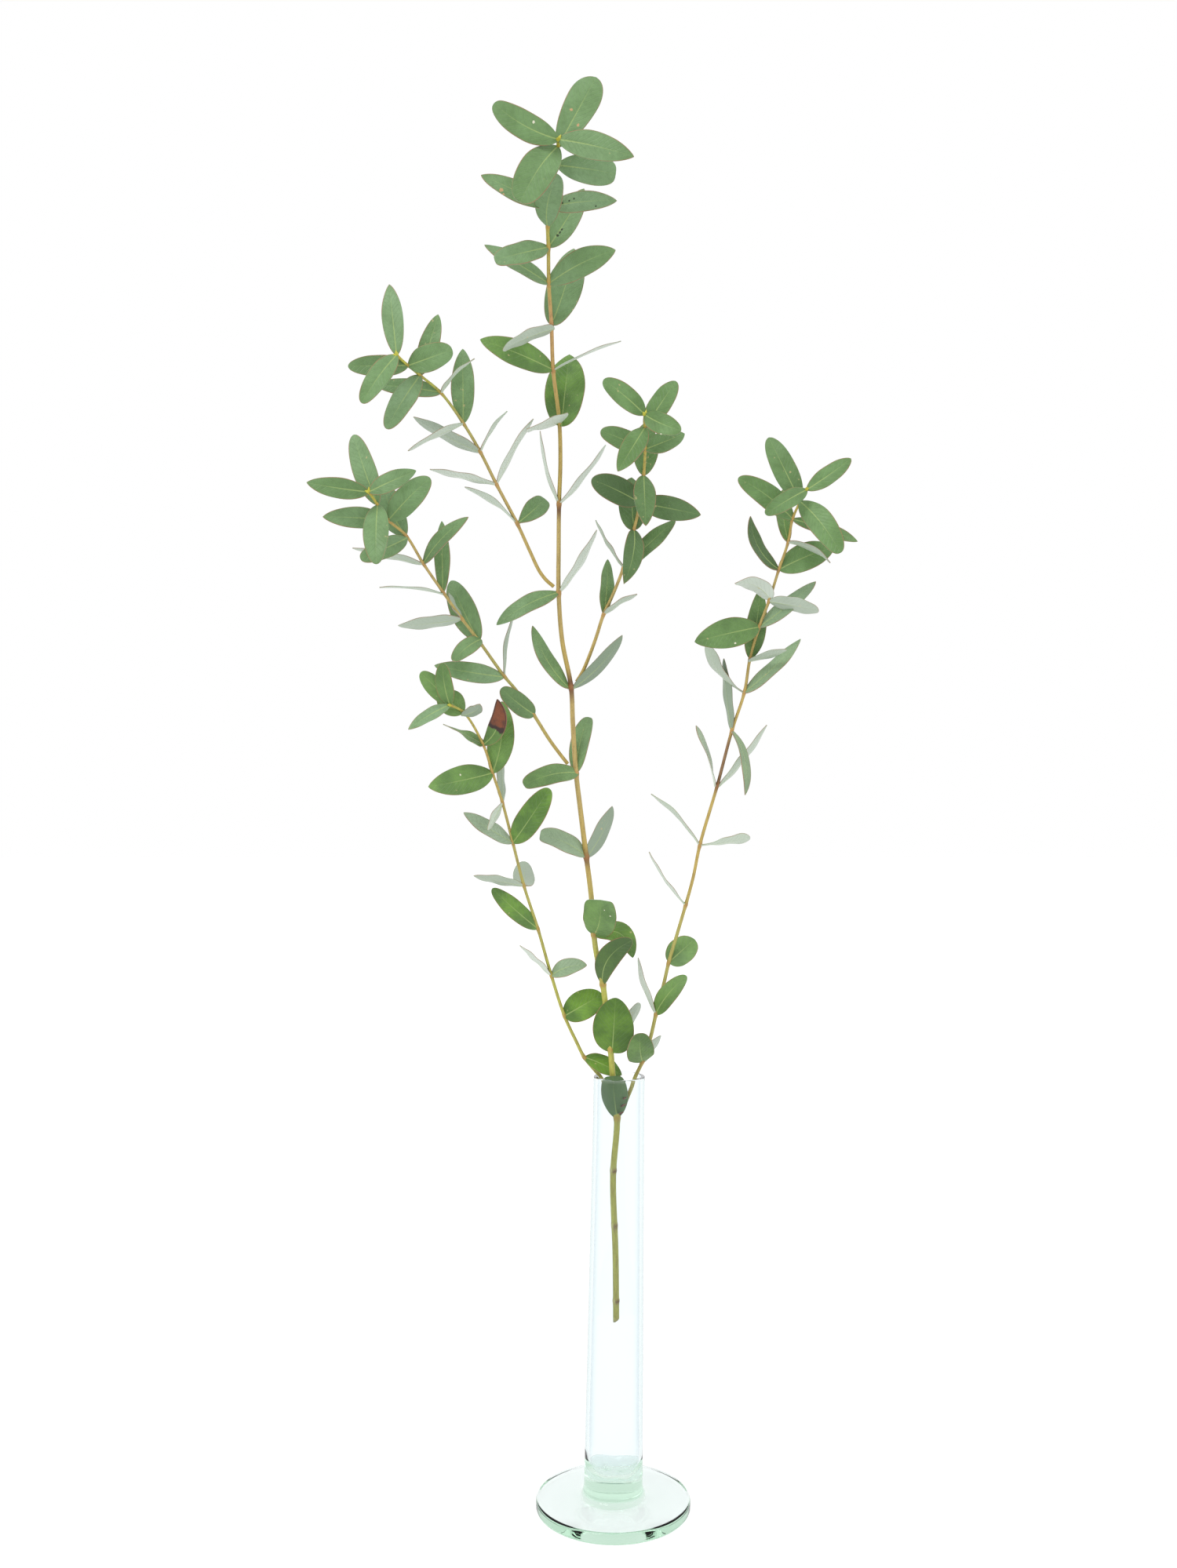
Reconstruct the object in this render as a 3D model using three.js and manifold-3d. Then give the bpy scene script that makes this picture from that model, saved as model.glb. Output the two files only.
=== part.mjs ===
// A small-leaved eucalyptus branch in a clear glass bud vase. Millimetres, +Z up, +X to the right
// and +Y away from the front. The origin is the middle of the foot's underside.
//
// Each shoot is a list of points from its foot to its tip, and each leaf grows from one point.
// Heights, sideways places and widths are given as they look from the front, on the upright plane
// through the vase, and are carried along the line of sight to their own depth.
import * as THREE from 'three';
import Module from 'manifold-3d';
import { mergeVertices } from 'three/addons/utils/BufferGeometryUtils.js';

const wasm = await Module();
wasm.setup();

// The place that the front view is seen from.
const EYE = new THREE.Vector3(-11.3, -688, 332);

// The vase: a blown tube on a thick disc.
const FOOT_RADIUS = 35.4;
const FOOT_THICKNESS = 5.4;
const TUBE_RADIUS = 13.4;
const MOUTH_RADIUS = 11.8;
const WALL = 1.9;
const VASE_HEIGHT = 198;
const WELL_FLOOR = 16;
const TUBE_LEAN = 2.8;
const VASE_SIDES = 36;

// The vase's curves: the angles round the foot's edge and how far its top runs in flat; the step
// from foot to tube, as pairs of distance out from the tube and height above the foot; the tube's
// taper, as heights and shares of the way from its foot's radius to its mouth's; the lip, as shares
// of the wall inward and heights from the rim; the well's corner, as distances in from its side
// and heights above its floor; how far the floor's middle lies below its edge; and how close the
// first and last of the turned points lie to be one.
const EDGE_ANGLES = [-60, -30, 0, 30, 60];
const EDGE_RUN = 1.5;
const STEP = [[6.5, 0.7], [1.6, 1.6], [0.4, 3.4], [0, 6.5]];
const TAPER = [[34, 0], [112, 0.5], [184, 1]];
const LIP = [[0, -1.2], [0.25, -0.2], [0.5, 0], [0.8, -0.3], [1, -1.3]];
const WELL_CORNER = [[0, 7], [1, 3.2], [3.6, 1], [7.5, 0]];
const WELL_DIP = 0.2;
const SEAM = 1e-4;

// The leaves and stems.
const BLADE_THICKNESS = 0.7;
const BASE_WIDTH = 1.3;
const TIP_WIDTH = 1.0;
const WIDEST = 0.46;
const BASE_POINT = 0.62;
const TIP_POINT = 0.75;
const ARCH = 0.07;
const GUTTER = 0.06;
const TIP_CUT = 0.98;
const BLADE_STATIONS = [0, 0.12, 0.38, 0.72, 1];
const STEM_SIDES = 6;
const NODE_SWELLING = 1.25;

const LEAF_GREEN = 0x4f7d3c;
const LOW_LEAF_GREEN = 0x4c7a22;
const GLASS_TINT = 0xe6efe9;

// A point is [right, up, back, leaves]. A leaf is [right and up of its tip, how far the tip lies
// behind its point, width, face, bow, more]. The face is the angle in degrees from the upper side
// seen full on, through edge-on at 90, to the underside at 180. The bow is how far the middle of
// the midrib stands to the left of the straight line to the tip. More may give a twist in degrees,
// a cup in millimetres, an arch as a share of the length, where the blade is widest as a share of
// the length, how pointed the base and tip are, from blunt at 0.2 to pointed at 1, and how far
// right, up and back of the stem's middle the blade starts.
const MAIN_SHOOT = [
  [1.4, 86, 8.4, []],
  [1.1, 116, 4.4, []],
  [0, 152, -0.2, []],
  [1.8, 179, -3.8, [
    [-0.2, 198, -4.2, 12, 176, 0.2, { "cup": 3.8, "arch": -0.1, "base": 0.6, "tip": 0.2 }],
  ]],
  [-0.2, 198, -4.6, []],
  [-1.2, 210.5, -7.6, [
    [1.2, 233.9, -6.5, 19.4, 12, 0, { "base": 0.42, "tip": 0.6, "start": [0.8, -1.6, 0] }],
    [12.2, 231.5, 7, 12, 118, -0.6, { "tip": 0.45 }],
  ]],
  [-4, 235, -10.8, []],
  [-4.7, 240, -11.5, [
    [8.8, 260.2, -11, 10.8, 14, 4.4, { "tip": 0.5, "widest": 0.52 }],
  ]],
  [-7.8, 255, -13.3, []],
  [-8.8, 263, -14.3, [
    [-6, 278.8, -15, 15.8, 12, -1.5, { "base": 0.42, "tip": 0.1, "widest": 0.62 }],
    [9, 252.2, -3, 10.6, 20, 6.4, { "base": 0.45 }],
  ]],
  [-10, 280, -16.5, []],
  [-12.3, 298.5, -19, [
    [-0.4, 321.8, 2, 9, 140, -1.3, { "base": 0.55 }],
    [-33.6, 308.6, -5, 11.2, 40, -1.8, { "base": 0.85, "tip": 0.22 }],
  ]],
  [-15, 320, -21.8, []],
  [-17, 337, -24.3, [
    [-41, 331.4, -11, 9.6, 20, -2, { "base": 0.5, "tip": 0.3, "start": [1, 0, 0] }],
    [-11.2, 362.6, 8, 9, 18, 1.3, { "tip": 0.32 }],
  ]],
  [-18.5, 360, -27.4, []],
  [-19.3, 376.5, -30, [
    [-37, 404.6, -3, 9, 40, 2.3, { "start": [-1, -0.5, 0] }],
    [4.2, 400.3, -8, 7.8, 140, -1.8, { "start": [0.9, -0.4, 0] }],
  ]],
  [-23.4, 398, -33.2, []],
  [-25, 419.8, -37, [
    [-53.5, 405, -8, 9.6, 34, -1.7, {}],
    [-7.5, 448.6, -2, 8.8, 112, -1.4, { "base": 0.75 }],
  ]],
  [-25, 440, -40.4, []],
  [-24.8, 460.5, -44.5, [
    [-33.5, 494, -2, 7.4, 102, 1.9, {}],
    [-3.4, 487.6, -2, 8.4, 106, -1.4, { "base": 0.5 }],
  ]],
  [-24.2, 480, -48.6, []],
  [-24.7, 498.5, -53, [
    [-20, 529, 9, 18.4, 10, 0.2, { "base": 0.46, "start": [1, -2.2, 0] }],
    [-39.5, 494.9, -23, 17, 106, 0, { "base": 0.25, "widest": 0.25, "tip": 1, "start": [0.6, -0.2, -0.3] }],
  ]],
  [-27.5, 522, -59.5, [
    [-61, 536, -5, 12.6, 20, -0.7, {}],
    [3.6, 535.2, 0, 8.4, 94, 0.9, {}],
  ]],
  [-28.3, 542.6, -67, [
    [-18, 577.6, 8, 16.2, 10, -1.1, { "base": 0.5 }],
    [-50.5, 531.6, -17, 9, 124, -0.8, { "base": 0.4, "tip": 0.45, "start": [1, -1.2, 0.3] }],
  ]],
  [-29.5, 561.5, -75.5, [
    [-59, 579.4, -4, 9.6, 42, -0.4, {}],
    [1.1, 577, -4, 12.6, 14, 1.6, { "widest": 0.5 }],
  ]],
  [-29.7, 578.3, -84.5, [
    [-54.4, 572.4, -8, 10.8, 28, -0.2, { "tip": 0.3 }],
    [-13.4, 605.2, 3, 12, 12, -0.5, { "widest": 0.4 }],
  ]],
  [-30, 588, -90.5, [
    [-25.4, 611.9, -22, 12.8, 12, 2, { "base": 0.75, "tip": 0.42, "widest": 0.58 }],
  ]],
  [-28.7, 597, -97, [
    [-60.6, 611.4, -4, 10.6, 30, 0, {}],
    [1.7, 599.7, -6, 9.8, 22, 0.8, {}],
  ]],
  [-26.3, 616, -112, [
    [1.2, 611.9, -2, 13.6, 12, 0.4, { "base": 0.8, "tip": 0.3, "widest": 0.62 }],
  ]],
  [-25.3, 624.5, -119, [
    [-7.8, 656.2, 4, 15.2, 10, 0, { "tip": 0.52, "widest": 0.62 }],
    [-42.6, 599, -10, 17, 12, -1.6, { "tip": 0.36, "widest": 0.55 }],
  ]],
  [-25, 627.8, -123, [
    [-54.6, 644.4, -4, 12.7, 12, 2, { "tip": 0.42 }],
    [9.6, 619.9, -6, 12.6, 12, 0.7, { "tip": 0.8 }],
  ]],
];

const LOW_LEFT_SHOOT = [
  [0.4, 180.8, -1.3, []],
  [-2.6, 189, -0.2, []],
  [-5.4, 197.1, 0.4, []],
  [-8.2, 200.4, 0, []],
  [-13.2, 206.5, -1.5, [
    [3.9, 198.4, 3, 8.8, 22, 0.7, {}],
  ]],
  [-17, 214, -3, []],
  [-22.3, 225.5, -5.5, [
    [-5, 235.5, 2, 13.6, 12, 0, { "base": 0.48, "tip": 0.5 }],
  ]],
  [-28.3, 244, -9.5, [
    [-42.8, 257.9, -2, 7.4, 107, 0, {}],
    [-12, 248.8, -4, 9, 30, 1.6, {}],
  ]],
  [-34.5, 265.5, -14.5, [
    [-55.5, 284, -4, 8.8, 14, 0.4, { "tip": 0.5 }],
  ]],
  [-41, 285.5, -20, [
    [-64, 289.9, -6, 6.6, 126, 0.1, {}],
    [-40.6, 296.4, 17, 10.4, 166, 0, { "tip": 0.45 }],
  ]],
  [-46, 305, -27.5, [
    [-68.6, 318.9, -5, 8.6, 35, 0.3, {}],
    [-29.2, 329.9, -12, 12.2, 12, -0.3, { "tip": 0.45 }],
  ]],
  [-50.8, 323.5, -33.5, [
    [-57.6, 310.8, -8, 4.4, 140, 0, { "base": 0.9 }],
    [-51.4, 344, 4, 8.4, 116, 0, {}],
  ]],
  [-55.3, 337, -40, [
    [-84.8, 330.7, -8, 13.7, 14, 0.4, {}],
    [-51, 370, -3, 12.2, 12, -2, {}],
  ]],
  [-59.6, 350, -47, [
    [-78, 359.4, -2, 9, 72, -0.4, { "twist": 44, "base": 0.45, "tip": 1.3, "widest": 0.3 }],
    [-53.2, 371, -6, 8.4, 18, -3.8, {}],
  ]],
  [-68.5, 364.8, -57, [
    [-61.2, 368.6, -15, 6, 150, -1.4, { "base": 0.5, "start": [-0.8, -1, 0] }],
    [-80.5, 374, 0, 12, 12, 0, {}],
  ]],
  [-74.8, 368.3, -62, [
    [-88.4, 383, 0, 8.8, 12, -0.6, { "tip": 0.45 }],
    [-78.2, 387.4, -6, 8.2, 12, 0.9, { "tip": 0.45 }],
    [-94, 357, -9, 6.2, 20, -0.8, {}],
  ]],
];

const LOW_RIGHT_SHOOT = [
  [3.7, 181.2, -1.6, []],
  [6, 187, -0.8, []],
  [8.5, 193, -0.6, []],
  [10.1, 197.5, -1.2, []],
  [13.5, 204.7, -4, [
    [12.2, 217.6, -14, 12.9, 10, 0.6, { "base": 0.5, "tip": 0.42 }],
    [21.9, 216.5, 7, 9, 113, 0, {}],
  ]],
  [17, 215, -6.4, []],
  [19.7, 226.5, -8, [
    [11.5, 252.3, -2, 7.2, 110, 1.5, {}],
    [33.7, 243.9, -10, 8.8, 12, 1.3, { "base": 0.5, "tip": 0.5 }],
  ]],
  [23.3, 240.5, -10.6, []],
  [25.5, 250, -12, [
    [37.3, 260.7, 4, 12.7, 12, 0, { "base": 0.45, "tip": 0.48 }],
  ]],
  [30.5, 267, -15.5, []],
  [33.3, 276.5, -17.5, [
    [16.5, 300.8, -2, 6.4, 100, 1.4, {}],
  ]],
  [36.7, 289, -19.5, []],
  [39.8, 304, -22, [
    [17.4, 327.4, -3, 7.6, 102, -1.4, { "base": 1, "widest": 0.66 }],
    [62.8, 307.7, -4, 8, 114, -0.5, { "twist": 34, "base": 1.2, "tip": 0.45, "widest": 0.72 }],
  ]],
  [47.8, 331.3, -26, [
    [38, 358.8, -5, 7.6, 78, -0.9, { "twist": -50, "start": [-0.8, -0.3, 0] }],
    [70.5, 359.1, -3, 7.6, 112, -1.2, { "start": [0.6, -0.3, 0] }],
  ]],
  [54.5, 356.5, -30, [
    [50.8, 389.6, -1, 8.4, 118, 0.4, {}],
    [60.5, 326.9, -8, 7.8, 60, 3, {}],
  ]],
  [60.2, 374, -33, [
    [43.2, 396.2, -2, 8.6, 116, 3.2, { "twist": 44, "base": 0.9, "tip": 0.5, "widest": 0.65 }],
    [86, 398.5, -4, 8.4, 44, -1.1, { "base": 0.5 }],
  ]],
  [62.8, 389.5, -36, [
    [67.6, 421.6, 2, 9.8, 14, -0.5, { "widest": 0.38 }],
    [79.2, 393.8, -12, 7, 116, -0.3, { "tip": 0.45, "start": [-0.6, -1, -0.3] }],
  ]],
  [67, 404, -39.5, [
    [37.4, 397.2, -6, 13.9, 12, -0.3, {}],
    [93, 424.9, -2, 9, 40, -0.6, {}],
  ]],
  [71.5, 416, -43.5, [
    [55.9, 424, -8, 10.8, 129, -3, { "base": 0.4, "start": [0.7, 0.8, -0.3] }],
    [94.2, 412, -10, 9.8, 132, 0, { "tip": 0.4 }],
  ]],
  [76, 430.3, -49, [
    [63, 454.9, -3, 8, 45, 3.5, {}],
    [101.6, 440.6, 0, 12.9, 12, 0.9, {}],
  ]],
  [80.3, 443, -54.5, [
    [77.8, 467, 4, 7.6, 26, 1, {}],
    [99.6, 433.5, -8, 6.6, 110, 2, {}],
  ]],
  [82.3, 453.5, -60, [
    [57.4, 472.4, -4, 10.9, 12, -1.5, { "tip": 0.5 }],
    [112.1, 443.3, 2, 7.6, 32, 0.6, {}],
  ]],
  [85.8, 461.5, -65, [
    [104.2, 438, -12, 12.1, 12, 1.5, { "tip": 0.42 }],
    [71.3, 490.9, 4, 11.2, 12, -0.1, { "tip": 0.5 }],
  ]],
  [88.8, 467, -69, [
    [69.9, 455.8, -7, 8.6, 12, -0.4, { "tip": 0.45 }],
    [109.1, 481.3, -3, 8.6, 12, -0.3, { "tip": 0.58 }],
  ]],
];

const MID_LEFT_SHOOT = [
  [-20.9, 341.3, -23.9, []],
  [-23.2, 344.2, -24.6, []],
  [-29, 352, -27, []],
  [-36.8, 364.3, -31, [
    [-51.3, 376, -8, 9.6, 12, 0.6, { "base": 0.45, "tip": 0.42, "start": [0.6, -0.4, 0] }],
  ]],
  [-44.5, 375, -34.5, []],
  [-50, 381.5, -37, [
    [-82, 386.4, -5, 9.4, 12, 0.4, { "start": [0, -0.4, 0] }],
    [-45.7, 410, 2, 7.4, 102, 0.9, {}],
  ]],
  [-61.5, 397.5, -44, [
    [-73.6, 388.5, -15, 8, 14, -1, { "base": 0.45, "tip": 0.45, "start": [0.7, 0.7, 0] }],
    [-74.4, 425.2, 5, 12.6, 12, 0.5, { "tip": 0.58 }],
  ]],
  [-69.5, 408, -49, [
    [-98.6, 404.7, -7, 8.8, 129, 0.5, {}],
    [-75.6, 419.8, -2, 6.4, 112, 0, {}],
  ]],
  [-78, 420, -55, [
    [-107.2, 422.2, -3, 7.4, 95, -1.1, { "start": [0, -0.6, 0] }],
    [-78.6, 452.6, 2, 8, 26, 0, {}],
  ]],
  [-87, 433, -62, [
    [-119.6, 440.3, -2, 7.6, 114, 0, {}],
    [-66.4, 454.5, -4, 8, 34, 1.9, {}],
  ]],
  [-95, 446, -69, [
    [-116, 435.4, -8, 9.6, 14, 0.3, { "tip": 0.4, "start": [0.4, -1, 0] }],
    [-104.5, 471, 5, 12.4, 12, 2.4, {}],
  ]],
  [-103, 453, -76, [
    [-84, 472.5, -5, 12.4, 12, 0.6, { "tip": 0.5 }],
    [-133.2, 454.6, -5, 10, 12, -0.4, {}],
  ]],
  [-108, 460, -82, [
    [-108.6, 432.9, -12, 12, 12, -0.5, { "tip": 0.5 }],
    [-119, 492.2, 4, 11.1, 12, 0.5, { "tip": 0.5 }],
  ]],
  [-112, 466, -87, [
    [-140.6, 470.4, -4, 9.7, 12, 0.4, {}],
    [-90.4, 475.8, -6, 9, 14, 0.3, {}],
  ]],
];

const MID_RIGHT_SHOOT = [
  [-16.7, 379, -28.1, []],
  [-14, 383.5, -27.8, []],
  [-10.9, 390.8, -29.4, []],
  [-7.9, 399, -33.2, []],
  [-4.3, 410, -38, [
    [-2.5, 435.1, 2, 7.6, 34, -0.4, {}],
    [10.9, 419.1, -8, 6.4, 111, 0.5, { "tip": 0.45 }],
  ]],
  [-0.5, 418, -40.4, []],
  [4.8, 431.5, -44.5, [
    [-8, 453.1, -2, 6, 103, 1, {}],
    [28.7, 453.3, 2, 9.2, 33, 0, {}],
  ]],
  [9.5, 448.5, -50, [
    [4.9, 423.8, -13, 9.3, 12, 1.7, { "base": 0.45, "tip": 0.9 }],
    [8.5, 472.6, 6, 13, 12, 0.4, { "base": 0.45 }],
  ]],
  [12.3, 461, -55, [
    [-9.9, 471.8, -5, 12.6, 12, -0.6, { "tip": 0.5 }],
    [40.2, 455.5, -4, 11.3, 12, 0.1, {}],
  ]],
  [14, 473.5, -61, [
    [15, 450.5, -13, 10.4, 12, 0, {}],
    [15.5, 498, 6, 12, 12, 0, {}],
  ]],
  [14.7, 485.5, -67.5, [
    [32.8, 492.7, 1, 9.8, 20, 0, {}],
    [-5.7, 494.1, -3, 9.8, 12, -0.3, { "tip": 0.45 }],
  ]],
  [14.5, 495.5, -74, [
    [2.1, 475.5, -11, 10.6, 12, 0, {}],
    [28.7, 516.8, 5, 10.2, 12, 0, { "tip": 0.5 }],
  ]],
  [14.5, 501.5, -78, [
    [-4.4, 517.5, -4, 10, 12, -0.6, { "tip": 0.45 }],
    [31.2, 494.2, -7, 9.9, 12, -0.7, { "tip": 0.5 }],
  ]],
];

const UPPER_LEFT_SHOOT = [
  [-27.3, 422.6, -36.4, []],
  [-31, 425.9, -37.6, []],
  [-34, 430, -38.8, []],
  [-38, 438.4, -41.3, []],
  [-44, 451.5, -45.6, [
    [-31.3, 462.7, 10, 9.7, 12, -0.3, { "base": 1.1, "tip": 0.36, "widest": 0.62 }],
    [-68.1, 468.3, -4, 7.2, 108, -1.8, { "twist": 30 }],
  ]],
  [-53.5, 469.5, -51.5, [
    [-84.1, 476.4, -6, 6.8, 117, 0, {}],
    [-36.6, 499.6, -2, 6.6, 114, 0.9, {}],
  ]],
  [-61, 484.5, -57, [
    [-91.6, 500.5, -4, 9.2, 126, 0.7, { "base": 0.5 }],
    [-48.6, 503.1, -2, 6.8, 100, 1, {}],
  ]],
  [-68.7, 497.5, -63, [
    [-94.1, 484.9, -11, 7, 112, -0.6, {}],
    [-69, 531.6, 0, 11, 12, 0, {}],
  ]],
  [-79, 511.5, -71, [
    [-109.6, 515, -4, 8.5, 22, -0.7, {}],
    [-63.6, 527.2, -10, 6.6, 101, 1.3, {}],
  ]],
  [-88.5, 519.5, -79, [
    [-104, 495, -11, 10.7, 12, -0.6, { "tip": 0.45 }],
    [-80.3, 547.4, 5, 9.2, 12, 0, {}],
  ]],
  [-94, 524, -85, [
    [-121.6, 523.8, -5, 9.8, 12, 0, { "tip": 0.5 }],
    [-73.8, 531.4, -4, 12.4, 12, 0, { "tip": 0.42 }],
  ]],
  [-99.3, 528.8, -90, [
    [-102.7, 561.2, 3, 10, 12, 0, {}],
    [-115.3, 506.8, -10, 10.2, 12, -0.9, { "tip": 0.45 }],
  ]],
];

// Each shoot: its node name, its points, its stem's radius at the foot and at the tip.
const SHOOTS = [
  ['main_shoot', MAIN_SHOOT, 1.4, 0.55],
  ['low_left_shoot', LOW_LEFT_SHOOT, 0.85, 0.5],
  ['low_right_shoot', LOW_RIGHT_SHOOT, 0.9, 0.5],
  ['mid_left_shoot', MID_LEFT_SHOOT, 0.8, 0.5],
  ['mid_right_shoot', MID_RIGHT_SHOOT, 0.8, 0.5],
  ['upper_left_shoot', UPPER_LEFT_SHOOT, 0.8, 0.5],
];

// A place seen from the front at `right` and `up`, carried along the line of sight to `back`.
function place(right, up, back) {
  const seen = new THREE.Vector3(right, 0, up);
  return seen.sub(EYE).multiplyScalar((back - EYE.y) / -EYE.y).add(EYE);
}

// A closed mesh from rings of points that all have the same count, capped at both ends.
function ringSolid(rings, capTriangles) {
  const count = rings[0].length;
  const positions = rings.flat().flatMap((point) => point.toArray());
  const triangles = [];
  for (let ring = 0; ring + 1 < rings.length; ring += 1) {
    const near = ring * count;
    const far = near + count;
    for (let side = 0; side < count; side += 1) {
      const next = (side + 1) % count;
      triangles.push([near + side, near + next, far + next]);
      triangles.push([near + side, far + next, far + side]);
    }
  }
  const last = (rings.length - 1) * count;
  for (const [a, b, c] of capTriangles) {
    triangles.push([a, c, b]);
    triangles.push([last + a, last + b, last + c]);
  }
  return new wasm.Manifold(new wasm.Mesh({
    numProp: 3,
    vertProperties: Float32Array.from(positions),
    triVerts: Uint32Array.from(triangles.flat()),
  }));
}

// The stem's line: a smooth curve through all the shoot's points.
function stemCurve(points) {
  const places = points.map(([right, up, back]) => place(right, up, back));
  return new THREE.CatmullRomCurve3(places, false, 'centripetal');
}

// The stem: a slim tapered rod, a little thicker where leaves grow.
function stemSolid(points, footRadius, tipRadius) {
  const curve = stemCurve(points);
  const spans = points.length - 1;
  const hasLeaves = (index) => points[index][3].length > 0;
  const side = new THREE.Vector3(1, 0, 0);
  const rings = [];
  for (let step = 0; step <= spans * 2; step += 1) {
    const before = Math.floor(step / 2);
    const isPoint = step % 2 === 0;
    if (!isPoint && !(hasLeaves(before) && hasLeaves(before + 1))) continue;
    const along = step / (spans * 2);
    const centre = curve.getPoint(along);
    const tangent = curve.getTangent(along);
    const right = side.clone().addScaledVector(tangent, -side.dot(tangent)).normalize();
    const front = right.clone().cross(tangent);
    const isNode = isPoint && hasLeaves(before);
    const taper = THREE.MathUtils.lerp(footRadius, tipRadius, along);
    const radius = isNode ? taper * NODE_SWELLING : taper;
    const ring = [];
    for (let index = 0; index < STEM_SIDES; index += 1) {
      const angle = (-2 * Math.PI * index) / STEM_SIDES;
      ring.push(centre.clone()
        .addScaledVector(right, radius * Math.cos(angle))
        .addScaledVector(front, radius * Math.sin(angle)));
    }
    rings.push(ring);
  }
  const fan = [];
  for (let index = 1; index + 1 < STEM_SIDES; index += 1) fan.push([0, index, index + 1]);
  return ringSolid(rings, fan);
}

// The blade's width at a share of its length, from the stem's middle to the tip.
function bladeWidth(share, width, widest, base, tip) {
  if (share < widest) return width * (1 - ((widest - share) / widest) ** 2) ** base;
  return width * (1 - ((share - widest) / (1 - widest)) ** 2) ** tip;
}

// One leaf: a thin arched blade of even thickness, rooted in the stem's middle.
function leafSolid(middle, growth, row) {
  const [right, up, back, seenWidth, face, seenBow, more] = row;
  const { twist = 0, cup = 0, arch = ARCH, start = [0, 0, 0] } = more;
  const { widest = WIDEST, base = BASE_POINT, tip = TIP_POINT } = more;
  const end = place(right, up, middle.y + back);
  const root = new THREE.Vector3(start[0], start[2], start[1]).add(middle);
  const nearness = (root.y + back / 2 - EYE.y) / -EYE.y;
  const width = seenWidth * nearness;
  const bow = seenBow * nearness;
  const chord = end.clone().sub(root);
  const length = chord.length();
  const along = chord.clone().normalize();
  const toEye = EYE.clone().sub(root.clone().lerp(end, 0.5)).normalize();
  const open = toEye.clone().addScaledVector(along, -toEye.dot(along)).normalize();
  const across = along.clone().cross(open);
  const turn = across.dot(growth) < 0 ? -1 : 1;
  const toLeft = across.clone().negate();
  const angle = THREE.MathUtils.degToRad(face);
  const bend = toLeft.multiplyScalar(bow).addScaledVector(open, arch * length * Math.cos(angle));
  const upper = open.clone().multiplyScalar(Math.cos(angle))
    .addScaledVector(across, turn * Math.sin(angle));

  // The midrib and its own directions at a share of the leaf's whole length.
  const frameAt = (share) => {
    const centre = root.clone().addScaledVector(chord, share)
      .addScaledVector(bend, 4 * share * (1 - share));
    const tangent = chord.clone().addScaledVector(bend, 4 * (1 - 2 * share)).normalize();
    const lean = new THREE.Quaternion().setFromUnitVectors(along, tangent);
    const roll = THREE.MathUtils.degToRad(turn * twist * (share - 0.5));
    const normal = upper.clone().applyQuaternion(lean).applyAxisAngle(tangent, roll);
    return { centre, normal, sideways: tangent.clone().cross(normal) };
  };

  // Six points round the blade: left, middle and right above, then right, middle and left below.
  const ringAt = (share, wide, hollow) => {
    const { centre, normal, sideways } = frameAt(share);
    const half = BLADE_THICKNESS / 2;
    const corner = (side, rise) => centre.clone()
      .addScaledVector(sideways, (side * wide) / 2)
      .addScaledVector(normal, Math.abs(side) * hollow + rise);
    return [corner(-1, half), corner(0, half), corner(1, half),
      corner(1, -half), corner(0, -half), corner(-1, -half)];
  };

  const rings = BLADE_STATIONS.map((station) => {
    const least = station < 0.5 ? BASE_WIDTH : TIP_WIDTH;
    const share = Math.min(station, TIP_CUT);
    const wide = Math.max(bladeWidth(share, width, widest, base, tip), least);
    return ringAt(station, wide, (GUTTER * width + cup) * (wide / width) ** 2);
  });
  return ringSolid(rings, [[0, 1, 4], [0, 4, 5], [1, 2, 3], [1, 3, 4]]);
}

// One leafy stem: the rod with all its leaves grown into it.
function shootSolid(points, footRadius, tipRadius) {
  const curve = stemCurve(points);
  const parts = [stemSolid(points, footRadius, tipRadius)];
  points.forEach(([right, up, back, leaves], index) => {
    const root = place(right, up, back);
    const growth = curve.getTangent(index / (points.length - 1));
    for (const row of leaves) parts.push(leafSolid(root, growth, row));
  });
  return parts.reduce((whole, next) => whole.add(next));
}

// The largest connected piece of a solid, as a three.js geometry with flat faces.
function solidGeometry(solid) {
  const pieces = solid.decompose().sort((a, b) => b.volume() - a.volume());
  const mesh = pieces[0].getMesh();
  const geometry = new THREE.BufferGeometry();
  geometry.setAttribute('position', new THREE.BufferAttribute(mesh.vertProperties, 3));
  geometry.setIndex(new THREE.BufferAttribute(mesh.triVerts, 1));
  geometry.computeVertexNormals();
  return geometry;
}

// The vase's half section: up the outside from the middle of the underside, and down the inside.
function vaseProfile() {
  const bore = MOUTH_RADIUS - WALL;
  const well = TUBE_RADIUS - WALL;
  const edge = FOOT_THICKNESS / 2;
  const outline = [[0, 0], [FOOT_RADIUS - edge, 0]];
  for (const angle of EDGE_ANGLES) {
    const radians = THREE.MathUtils.degToRad(angle);
    outline.push([FOOT_RADIUS - edge + edge * Math.cos(radians), edge + edge * Math.sin(radians)]);
  }
  outline.push([FOOT_RADIUS - edge - EDGE_RUN, FOOT_THICKNESS]);
  for (const [out, rise] of STEP) outline.push([TUBE_RADIUS + out, FOOT_THICKNESS + rise]);
  for (const [height, share] of TAPER) {
    outline.push([THREE.MathUtils.lerp(TUBE_RADIUS, MOUTH_RADIUS, share), height]);
  }
  for (const [inward, rise] of LIP) {
    outline.push([MOUTH_RADIUS - inward * WALL, VASE_HEIGHT + rise]);
  }
  for (const [height, share] of TAPER.toReversed()) {
    outline.push([THREE.MathUtils.lerp(well, bore, share), height]);
  }
  for (const [inward, rise] of WELL_CORNER) outline.push([well - inward, WELL_FLOOR + rise]);
  outline.push([0, WELL_FLOOR - WELL_DIP]);
  return outline.map(([radius, height]) => new THREE.Vector2(radius, height));
}

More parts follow.
